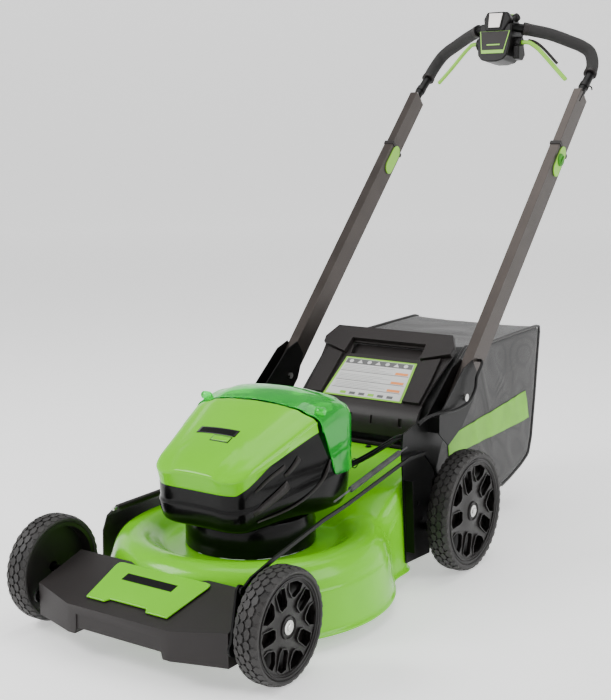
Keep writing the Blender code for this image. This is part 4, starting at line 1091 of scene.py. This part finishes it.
def cloth_side(y, z, far):
    """Sideways reach of a side panel; far is 1 at its seam and 0 in the middle."""
    return BAG_HALF + 0.0045 * (1 - far**6) + (crease(y, z) - 0.004) * min(1.0, (1 - far) * 5)


def bag_point(u, v):
    """The bag's skin: u goes round its outline, v from the right side panel over to the left one."""
    k = round(v * 44)
    edge = walked(BAG + [BAG[0]], u)
    if k < 12 or k > 32:
        far = (k if k < 12 else 44 - k) / 12
        p = BAG_MIDDLE + (edge - BAG_MIDDLE) * far
        return at((-1 if k < 12 else 1) * cloth_side(p.x, p.y, far), p.x, p.y)
    x = -BAG_HALF + 2 * BAG_HALF * (k - 12) / 20
    sag = (1 - (x / BAG_HALF) ** 4) * (0 if edge.x < 0.72 else 1)
    depth = 0.006 + 0.9 * crease(edge.x * 1.3, edge.y * 1.3, x)
    p = edge + (BAG_MIDDLE - edge).normalized() * sag * depth
    return at(x, p.x, p.y)

# %% [markdown]
# Polyester cloth is a weave of fine threads. Three crossed waves raise the threads whichever way a panel
# faces, and a little sheen gives the dull bloom of cloth.

# %% Woven cloth
weave = material("weave", (0.016, 0.0155, 0.0155), 0.62, grain=(1100, 0.5), shade=0.25, blotch=14,
    Sheen_Weight=0.25, Sheen_Roughness=0.4)
tree = weave.node_tree
skin, bump = tree.nodes["Principled BSDF"], tree.nodes["Bump"]
threads = [tree.nodes.new("ShaderNodeTexWave") for _ in range(3)]
for wave, way in zip(threads, "XYZ"):
    wave.bands_direction = way
    wave.inputs["Scale"].default_value = 210
    tree.links.new(tree.nodes["Texture Coordinate"].outputs["Object"], wave.inputs["Vector"])
mix = [tree.nodes.new("ShaderNodeMath") for _ in range(2)]
for m, (a, b) in zip(mix, ((threads[0], threads[1]), (threads[2], mix[0]))):
    m.operation = "MAXIMUM"
    tree.links.new(a.outputs["Fac"] if a in threads else a.outputs[0], m.inputs[0])
    tree.links.new(b.outputs["Fac"] if b in threads else b.outputs[0], m.inputs[1])
tree.links.new(mix[1].outputs[0], bump.inputs["Height"])
bump.inputs["Strength"].default_value = 0.35
print(len(threads), "directions of thread")

# %% [markdown]
# The bag is drawn as one closed skin and its mouth is then cut open at the door. The seams are piped.

# %% Sewing the bag
bag = surface(150, 44, bag_point)
mouth = []
for f in bag.faces:
    centre = f.calc_center_median()
    if centre.y < at(0, 0.7008, 0).y and abs(centre.x) < 0.14 and centre.z < 0.240:
        mouth.append(f)
bmesh.ops.delete(bag, geom=mouth, context="FACES")
piece("bag_cloth", bag, "bag_body", weave, "bag_fabric", ["grass_bag"], sharp=180, rounds=1, wall=0.0012)
seams = []
for sx in (-1, 1):
    route = [at(sx * (BAG_HALF - 0.0015), *walked(BAG + [BAG[0]], t / 120)) for t in range(121)]
    seams.append(tube(route, 0.0036, 8))
piece("bag_piping", joined(*seams), "bag_body", weave, "bag_fabric", sharp=180)
print("bag sewn, mouth of", len(mouth), "faces open")

# %% [markdown]
# The band is printed on the cloth, so it follows every sag of the side panel.

# %% The green band
def band_point(u, v):
    """The band, just outside the side panel."""
    low = Vector((0.765, 0.204)).lerp(Vector((1.187, 0.212)), u)
    high = Vector((0.765, 0.251)).lerp(Vector((1.158, 0.284)), u)
    p = low.lerp(high, v)
    edge = max(abs(p.x - 0.960) / 0.27, abs(p.y - 0.27) / 0.16)
    return at(cloth_side(p.x, p.y, min(1, edge)) + 0.0016, p.x, p.y)


band = mirrored(surface(90, 14, band_point))
band_ink = material("band_ink", (0.16, 0.44, 0.03), 0.6, grain=(1400, 0.4), shade=0.1, blotch=20)
piece("bag_band", band, "bag_body", band_ink, "bag_fabric", sharp=180, wall=0.0006)
print("bag made")

# %% [markdown]
# ## The handle
#
# Each side of the handle is a rectangular aluminium tube that slides in a slightly larger one, with a
# cast cap where the round steel bar enters. A cam lock on its outer and inner face holds the height: an
# oval plate with a round knob that turns a quarter. The bar bends over to the middle and wears thick foam
# sleeves, each closed by a thin ring.

# %% The bar
SLANT = math.radians(45.9)
ALONG = Vector((0, math.cos(SLANT), math.sin(SLANT)))
ABOVE = Vector((0, -math.sin(SLANT), math.cos(SLANT)))


def on_handle(x, s, h):
    """A point on the handle: s along the tube from its pivot, h above its middle line."""
    return at(x, 0.713, 0.357) + ALONG * s + ABOVE * h


TUBE_X = 0.2257        # from the middle of the mower to the middle of a handle tube
BAR = [
    (TUBE_X, 1.3255, 0.9945), (0.2259, 1.350, 1.013), (0.2255, 1.379, 1.036), (0.222, 1.405, 1.064),
    (0.208, 1.421, 1.093), (0.187, 1.418, 1.109), (0.163, 1.410, 1.120), (0.114, 1.388, 1.140),
    (0.060, 1.350, 1.154), (0.030, 1.338, 1.158), (0.0, 1.335, 1.159),
]
bar = smooth_path([at(*p) for p in BAR] + [at(-x, y, z) for x, y, z in reversed(BAR[:-1])], 8)
piece("bar_look", tube(bar, 0.0110, 24), "upper_handle", powder_coat, "black_paint", ["upper_bar"],
    sharp=60)
print("bar bent through", len(bar), "points")

# %% [markdown]
# A foam sleeve is pushed over each half of the bar. It keeps a little give, and a thin ring closes each
# end.

# %% Grips
def fit_grip(name, sign):
    """A foam sleeve with its two rings, on one half of the bar."""
    route = smooth_path([at(sign * x, y, z) for x, y, z in BAR[1:9]], 10)
    sleeve = tube(route[12:], lambda v: 0.0150 - 0.0016 * (ease(v, 0.985, 1.0) + 1 - ease(v, 0, 0.012)), 28)
    grip = piece(f"grip_{name}", sleeve, "upper_handle", foam, "grip_foam", [f"foam_grip_{name}"], sharp=60)
    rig.padded(grip, fill=1.0)
    rings = joined(tube(route[11:14], 0.0166, 28), tube(route[-3:], 0.0158, 28))
    piece(f"grip_rings_{name}", rings, "upper_handle", charcoal, "charcoal_plastic", sharp=40, bevel=0.0006)


print("a grip is", round((at(*BAR[8]) - at(*BAR[1])).length, 3), "m from end to end")

# %% [markdown]
# A cast cap closes each upper tube, and a moulded collar lines the mouth of each lower one, so the two
# tubes slide without rattling.

# %% Caps and collars
CAP_SECTION = (0.0101, 0.0233)       # half the width and half the height, in metres
COLLAR_SECTION = (0.0136, 0.0272)
HOLE_SECTION = (0.0103, 0.0236)


def rectangle(X, s, half_width, half_height):
    """The four corners of a section across a handle tube."""
    corners = ((-1, -1), (1, -1), (1, 1), (-1, 1))
    return [on_handle(X + a * half_width, s, b * half_height) for a, b in corners]


def fit_cap_and_collar(name, X):
    """The cap tapers to its top. The collar is a block with the upper tube's hole through it."""
    cap = plate(rectangle(X, 0.868, *CAP_SECTION), ALONG * 0.0205)
    top = [v for v in cap.verts if (v.co - on_handle(X, 0.88, 0)).dot(ALONG) > 0.004]
    for v in top:
        middle = on_handle(X, 0.8875, 0.004)
        v.co = middle + (v.co - middle) * 0.62
    piece(f"cap_{name}", cap, "upper_handle", cap_grey, "charcoal_plastic", bevel=0.0022)
    collar = plate(rectangle(X, 0.697, *COLLAR_SECTION), ALONG * 0.010)
    hole = plate(rectangle(X, 0.68, *HOLE_SECTION), ALONG * 0.05)
    piece(f"collar_{name}", carved(collar, hole), "lower_handle", charcoal, "charcoal_plastic",
        bevel=0.0012)


print("a cap is", 2 * CAP_SECTION[0], "by", 2 * CAP_SECTION[1], "m")

# %% [markdown]
# A cam lock holds the handle's length. Its pale green plate lies on both faces of the tube, and the
# darker knob with its grip bar turns a quarter on the outer one.

# %% Cam locks
def fit_lock(name, sign, X):
    """An egg-shaped plate on each face of the tube, and the knob on the outer one."""
    for face in (1, -1):
        oval = []
        for a in (2 * math.pi * k / 32 for k in range(32)):
            upper = math.sin(a) > 0
            s = 0.663 + 0.0225 * math.sin(a) * (1.0 if upper else 0.8) + (0.024 if upper else -0.020)
            oval.append((s, 0.0165 * math.cos(a)))
        base = plate([on_handle(X + sign * face * 0.0116, s, h - 0.002) for s, h in oval],
            (sign * face * 0.0034, 0, 0))
        piece(f"lock_plate_{name}_{'out' if face > 0 else 'in'}", base, "lower_handle", leaf_plastic,
            "knob_green", bevel=0.0010)
    button = [(0.0, 0.0), (0.0, 0.0150), (0.0034, 0.0146), (0.0048, 0.0130), (0.0052, 0.0110),
        (0.0040, 0.0)]
    knob = turned(button, on_handle(sign * 0.2405, 0.670, 0), (sign, 0, 0), 40)
    wedge = ((-0.0110, -0.0028), (0.0110, -0.0020), (0.0110, 0.0020), (-0.0110, 0.0028))
    blade = plate([on_handle(sign * 0.2440, 0.670 + s, h) for s, h in wedge], (sign * 0.0038, 0, 0))
    piece(f"knob_{name}", joined(knob, blade), f"lock_{name}_body", deep_green, "knob_green",
        [f"lock_knob_{name}"], bevel=0.0008)


for name, sign in (("left", 1), ("right", -1)):
    fit_grip(name, sign)
    fit_cap_and_collar(name, sign * TUBE_X)
    fit_lock(name, sign, sign * TUBE_X)
print("handle dressed")

# %% [markdown]
# ## Controls
#
# The control box is two moulded shells round the middle of the bar: a rounded bowl below, and a raised
# head above that holds the display. Its face carries a bordered plate, blank here. The start button sits
# on top. Two green arms, one on each side, are the bail that has to be held down while the blade turns,
# and a thin black lever lies along the left one to drive the wheels.

# %% The control box
FACE_UP = Vector((0, 0.030, 0.113)).normalized()
FACE_OUT = Vector((0, -FACE_UP.z, FACE_UP.y))


def face(x, s, h):
    return at(x, 1.300, 1.085) + FACE_UP * s + FACE_OUT * h


BOWL = [
    (-0.0425, 0.086), (0.0425, 0.086), (0.0440, 0.030), (0.0400, 0.006), (0.0300, -0.0060),
    (0.0120, -0.0110), (-0.0120, -0.0110), (-0.0300, -0.0060), (-0.0400, 0.006), (-0.0440, 0.030),
]
bowl = slab(face, BOWL, 0.0, -0.076)
for v in bowl.verts:
    back_share = ease(-(v.co - face(0, 0, 0)).dot(FACE_OUT), 0.01, 0.076)
    v.co.z = v.co.z * (1 - 0.12 * back_share) + 1.150 * 0.12 * back_share
HEAD_BOX = [(-0.0255, 0.066), (0.0235, 0.066), (0.0400, 0.096), (0.0290, 0.114), (-0.0270, 0.114),
    (-0.0340, 0.096)]
head = slab(face, HEAD_BOX, 0.004, -0.060)
SHOULDER = [(-0.0430, 0.078), (0.0430, 0.078), (0.0400, 0.100), (-0.0360, 0.100)]
shoulder = slab(face, SHOULDER, -0.010, -0.070)
pods = []
for sx in (-1, 1):
    angles = [math.radians(30 * k) for k in range(12)]
    ring = [at(sx * 0.040, 1.345 + 0.0165 * math.cos(a), 1.119 + 0.0165 * math.sin(a)) for a in angles]
    pods.append(plate(ring, (sx * 0.0205, 0, 0)))
SIDE_BLOCK = ((1.322, 1.080), (1.322, 1.112), (1.352, 1.118), (1.362, 1.090), (1.348, 1.076))
block = plate([at(0.046, y, z) for y, z in SIDE_BLOCK], (0.017, 0, 0))
shell = joined(bowl, head, shoulder, block, *pods)
piece("control_shell", shell, "upper_handle", satin_black, "gloss_black_plastic", ["control_box"],
      bevel=0.0034, corner=22)
print("control box of", 4 + len(pods), "blocks")
selector = turned([(0.0, 0.0), (0.0, 0.0105), (0.0100, 0.0098), (0.0118, 0.0080), (0.0118, 0.0)],
    at(0.0445, 1.335, 1.1780), (1, -0.15, 0.5), 36)
piece("selector", selector, "upper_handle", satin_black, "gloss_black_plastic", bevel=0.0008)

# %% [markdown]
# The display is a silvery film in a black frame. Under it a green-edged plate closes the face.

# %% Display and face plate
display = slab(face, [(-0.0200, 0.0705), (0.0165, 0.0705), (0.0215, 0.1130), (-0.0225, 0.1130)], 0.0035,
    0.0062)
piece("display_frame", display, "upper_handle", satin_black, "charcoal_plastic", ["control_panel"],
    bevel=0.0008)
silver = material("silver_film", (0.55, 0.52, 0.50), 0.3, metal=0.55, grain=(500, 0.05), shade=0.04)
film = slab(face, [(-0.0165, 0.0740), (0.0130, 0.0740), (0.0175, 0.1095), (-0.0185, 0.1095)], 0.0060,
    0.0066)
piece("display_film", film, "upper_handle", silver, "charcoal_plastic", bevel=0.0003)
plaque = [([(-0.0405, 0.0660), (0.0405, 0.0660), (0.0300, 0.0100), (-0.0300, 0.0100)], 0.0008, 0),
          ([(-0.0382, 0.0655), (0.0382, 0.0655), (0.0292, 0.0185), (-0.0292, 0.0185)], 0.0012, 1),
          ([(-0.0180, 0.0330), (0.0180, 0.0330), (0.0175, 0.0300), (-0.0175, 0.0300)], 0.0015, 2)]
piece("face_plate", sticker(face, plaque), "upper_handle", [leaf_plastic, charcoal, leaf_plastic],
    "charcoal_plastic")
print("display and a plate of", len(plaque), "layers")

# %% [markdown]
# The button is a small turned cap that sinks 2 mm when pressed.

# %% Start button
button = turned([(0.0, 0.0), (0.0, 0.0072), (0.010, 0.0070), (0.0114, 0.0058), (0.0118, 0.0)],
    at(0.020, 1.366, 1.1805), (0, 0, 1), 32)
piece("start_look", button, "start_body", leaf_plastic, "knob_green", ["start_button"], bevel=0.0004)
print("start button")

# %% [markdown]
# The bail is a bent strip that pivots in the box. It must be held against the bar while the blade turns,
# and it springs back when it is let go. The drive lever is thinner and lies behind its left arm.

# %% Bail and drive lever
ARM = [
    (0.052, 1.345, 1.120), (0.066, 1.345, 1.1205), (0.0790, 1.3475, 1.1190), (0.0900, 1.3510, 1.1120),
    (0.1050, 1.3535, 1.0995), (0.1400, 1.354, 1.063), (0.1680, 1.352, 1.0345), (0.1760, 1.351, 1.0265),
]
arms = []
for sx in (1, -1):
    route = smooth_path([at(sx * x, y, z) for x, y, z in ARM], 8)
    arms.append(tube(route, lambda v: 0.0047 if v < 0.97 else 0.0038, 16, 1.25))
arms.append(tube([at(-0.052, 1.345, 1.120), at(0.052, 1.345, 1.120)], 0.0040, 12))
piece("bail_arms", joined(*arms), "bail_body", leaf_plastic, "knob_green", ["blade_bail"], sharp=50)
LEVER = [(0.072, 1.356, 1.126), (0.090, 1.362, 1.120), (0.112, 1.366, 1.102), (0.146, 1.3665, 1.067)]
lever = tube(smooth_path([at(*p) for p in LEVER], 8), 0.0030, 12, 1.3)
piece("drive_arm", lever, "drive_body", charcoal, "charcoal_plastic", ["drive_lever"], sharp=50)
print("bail and lever")

# %% [markdown]
# ## Springs, leads and the control cable
#
# The lift spring that carries the deck's weight is a close-wound coil with a straight rod at each end.
# Three leads in black sleeves run over the hump from the handle to the motor, held by a tie. The control
# cable leaves the left tube, hangs in one loop beside the bracket and goes in under it.

# %% Lift spring
def coil(start, end, radius, wire, turns):
    """A wound spring between two points, with straight tails."""
    start, end = Vector(start), Vector(end)
    way = (end - start).normalized()
    side = way.orthogonal().normalized()
    other = way.cross(side)
    path = [start - way * 0.012]
    for k in range(turns * 12 + 1):
        a = 2 * math.pi * k / 12
        path.append(start.lerp(end, k / (turns * 12)) + (side * math.cos(a) + other * math.sin(a)) * radius)
    return tube([*path, end + way * 0.012], wire, 6)


spring = coil(at(0.2215, 0.290, 0.2573), at(0.2215, 0.470, 0.2880), 0.0048, 0.0010, 60)
rods = [tube([at(0.2215, 0.235, 0.248), at(0.2215, 0.292, 0.2577)], 0.0018, 8),
        tube([at(0.2215, 0.468, 0.2876), at(0.2215, 0.500, 0.293)], 0.0018, 8)]
piece("spring_coil", joined(spring, *rods), "chassis", dark_steel, "dark_steel", ["lift_spring"], sharp=60)
print("spring and", len(rods), "rods")

# %% [markdown]
# Each lead has its own sleeve, so the three lie beside each other and one tie gathers them.

# %% Motor leads
LEADS = [
    (0.2068, 0.520, 0.308), (0.190, 0.512, 0.303), (0.168, 0.505, 0.288), (0.140, 0.500, 0.268),
    (0.112, 0.492, 0.250), (0.092, 0.474, 0.238), (0.076, 0.4535, 0.228),
]
leads = []
for dy, dz in ((0, 0.0035), (0.0058, -0.002), (-0.0058, -0.002)):
    route = [at(x, y + dy * min(1, 4 * (k / 6)), z + dz) for k, (x, y, z) in enumerate(LEADS)]
    leads.append(tube(smooth_path(route, 8), 0.0034, 10))
loop = []
for k in range(11):
    a = math.radians(36 * k)
    round_it = Vector((0, 0.0105 * math.cos(a), 0.0095 * math.sin(a)))
    loop.append(at(0.104 + 0.0005 * k, 0.487, 0.2465) + round_it)
tie = tube(smooth_path(loop, 3), 0.0012, 6)
piece("lead_bundle", joined(*leads, tie), "chassis", jacket, "cable_jacket", ["motor_leads"], sharp=60)
print(len(leads), "leads and a tie")

# %% [markdown]
# The cable's upper end moves with the handle and its lower end stays with the deck, so the sleeve bends
# between the two.

# %% Control cable
CABLE = [
    (0.2380, 0.776, 0.426), (0.2450, 0.7758, 0.4259), (0.2520, 0.7640, 0.4200), (0.2550, 0.736, 0.398),
    (0.2560, 0.728, 0.375), (0.2540, 0.708, 0.353), (0.2500, 0.680, 0.344), (0.2470, 0.640, 0.342),
    (0.2450, 0.608, 0.345), (0.2360, 0.586, 0.344), (0.2270, 0.565, 0.338), (0.2230, 0.545, 0.330),
]
hang = ("chassis", "lower_handle", at(0.2450, 0.6080, 0.3450), at(0.2450, 0.7640, 0.4200))
sleeve = tube(smooth_path([at(*p) for p in CABLE], 8), 0.0034, 12)
piece("cable_sleeve", sleeve, hang, jacket, "cable_jacket", ["control_cable"], sharp=60)
print("cables made")

# %% [markdown]
# ## Small fasteners and clips
#
# Small things hold the machine together: flange screws on both sides of the deck's hump and along its top
# edge, a strap at each end of the bar, and a wire hook for the cable on the left tube.

# %% Screws
def screw(centre, way, r=0.0048):
    """A flange screw: a washer face under a domed head."""
    return turned([(0.0, 0.0), (0.0, r * 1.45), (0.0010, r * 1.35), (0.0012, r), (0.0030, r * 0.92),
        (0.0038, r * 0.6), (0.0040, 0.0)], centre, way, 20)


SPOTS = [(0.2103, 0.5400, 0.1880), (0.2103, 0.5620, 0.1600), (0.2103, 0.5800, 0.1230)]
screws = [screw(at(*p), (1, 0, 0)) for p in SPOTS]
piece("deck_screws", mirrored(joined(*screws)), "chassis", satin_black, "zinc_steel", sharp=40)
top = [screw(at(x, 0.6300, 0.2425), (0, -0.05, 1)) for x in (-0.150, -0.052, 0.052, 0.150)]
piece("hump_screws", joined(*top), "chassis", satin_black, "zinc_steel", sharp=40)
print(2 * len(screws) + len(top), "screws")

# %% [markdown]
# A strap wraps each end of the bar with its tail left standing, and the hook is a wire that tapers.

# %% Straps and hook
straps = []
for sign in (1, -1):
    bend = smooth_path([at(sign * 0.2258, 1.3400, 1.0057), at(sign * 0.2258, 1.3520, 1.0150)], 4)
    straps.append(tube(bend, 0.0124, 20))
    straps.append(tube(smooth_path([at(sign * 0.2370, 1.3500, 1.0100), at(sign * 0.2410, 1.3540, 1.0080),
        at(sign * 0.2425, 1.3560, 1.0010)], 5), 0.0018, 8))
piece("bar_straps", joined(*straps), "upper_handle", satin_black, "charcoal_plastic", sharp=50)
HOOK = [(0.2300, 0.886, 0.008), (0.2405, 0.880, 0.0160), (0.2430, 0.862, 0.0205), (0.2425, 0.838, 0.0225)]
hook = tube(smooth_path([on_handle(*p) for p in HOOK], 6), lambda v: 0.0022 - 0.0008 * v, 8)
piece("cable_hook", hook, "upper_handle", satin_black, "charcoal_plastic", sharp=50)
print("fasteners made")

# %% [markdown]
# ## Parts that show as they are
#
# A few hidden parts, such as the blade and the shafts, keep their CAD shape. Each is given the finish
# that its material names.

# %% Carried-over finishes
FINISH = {
    "lime_paint": lime_paint,
    "black_paint": powder_coat,
    "charcoal_plastic": charcoal,
    "lime_plastic": lime_plastic,
    "gloss_black_plastic": gloss_black,
    "clear_green_plastic": clear_green,
    "tyre_rubber": foam,
    "rim_plastic": rim_plastic,
    "zinc_steel": zinc,
    "dark_steel": dark_steel,
    "bronze_tube": bronze,
    "grip_foam": foam,
    "knob_green": leaf_plastic,
    "bag_fabric": foam,
    "copper_winding": copper,
    "cable_jacket": jacket,
}
for part in frame["record"]["subparts"]:
    mesh = nodes[part["node"]].data
    mesh.materials.clear()
    mesh.materials.append(FINISH[part["material_slot"]])
print(len(FINISH), "finishes carried over")

# %% [markdown]
# ## The studio
#
# A pale floor that curves up far behind the mower leaves no horizon line. A broad lamp from the front
# left gives the paint its long highlights, a softer one from the right opens the shadows, and the pale
# surroundings keep the black plastics readable.

# %% Floor
def sweep(u, v):
    """A round floor that curves up into a wall far behind the mower, whichever way one looks."""
    run, a = 16 * v, 2 * math.pi * u
    bend = min(1.0, max(0.0, run - 9) / 4.7) * math.pi / 2
    r = min(run, 9.0) + 3 * math.sin(bend)
    return Vector((r * math.cos(a), r * math.sin(a), 3 * (1 - math.cos(bend)) + max(0.0, run - 13.7)))


bm = surface(96, 64, sweep)
floor = bpy.data.objects.new("floor", bpy.data.meshes.new("floor"))
for f in bm.faces:
    f.smooth = True
bmesh.ops.recalc_face_normals(bm, faces=bm.faces)
bm.to_mesh(floor.data)
bm.free()
floor.location.z = -0.0008
floor.data.materials.append(material("studio_floor", (0.9, 0.9, 0.9), 0.6, grain=(60, 0.01), shade=0.005,
                                     Emission_Color=(1, 1, 1, 1), Emission_Strength=0.55))
bpy.context.scene.collection.objects.link(floor)
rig.stage(floor)
print("floor laid")

# %% [markdown]
# A broad lamp gives soft edges to the shadows. Three of them shape the mower: the key from the front, one
# from the side, and one above.

# %% Lamps
def lamp(name, place, aim, power, width, height):
    data = bpy.data.lights.new(name, "AREA")
    data.shape, data.size, data.size_y, data.energy = "RECTANGLE", width, height, power
    o = bpy.data.objects.new(name, data)
    facing = (Vector(aim) - Vector(place)).to_track_quat("-Z", "Y")
    o.matrix_world = Matrix.Translation(place) @ facing.to_matrix().to_4x4()
    bpy.context.scene.collection.objects.link(o)


lamp("key", (-1.9, -2.0, 2.3), (0, -0.1, 0.3), 80, 1.5, 1.2)
lamp("side", (3.2, 0.2, 2.0), (0, 0, 0.4), 60, 1.6, 2.0)
lamp("top", (0, 0.4, 3.4), (0, 0, 0), 60, 2.6, 2.6)
world = bpy.data.worlds.new("studio")
bpy.context.scene.world = world
world.use_nodes = True
sky = world.node_tree.nodes["Background"]
sky.inputs["Color"].default_value = (1, 1, 1, 1)
sky.inputs["Strength"].default_value = 0.5
print("stage ready")

# %% [markdown]
# The visual model has to stay inside the room that the CAD parts take, so its size is written down before
# and after.

# %% Finish
size["after"] = [list(corner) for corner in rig.bounds()]
with open("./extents.json", "w") as f:
    json.dump(size, f)
print(size)
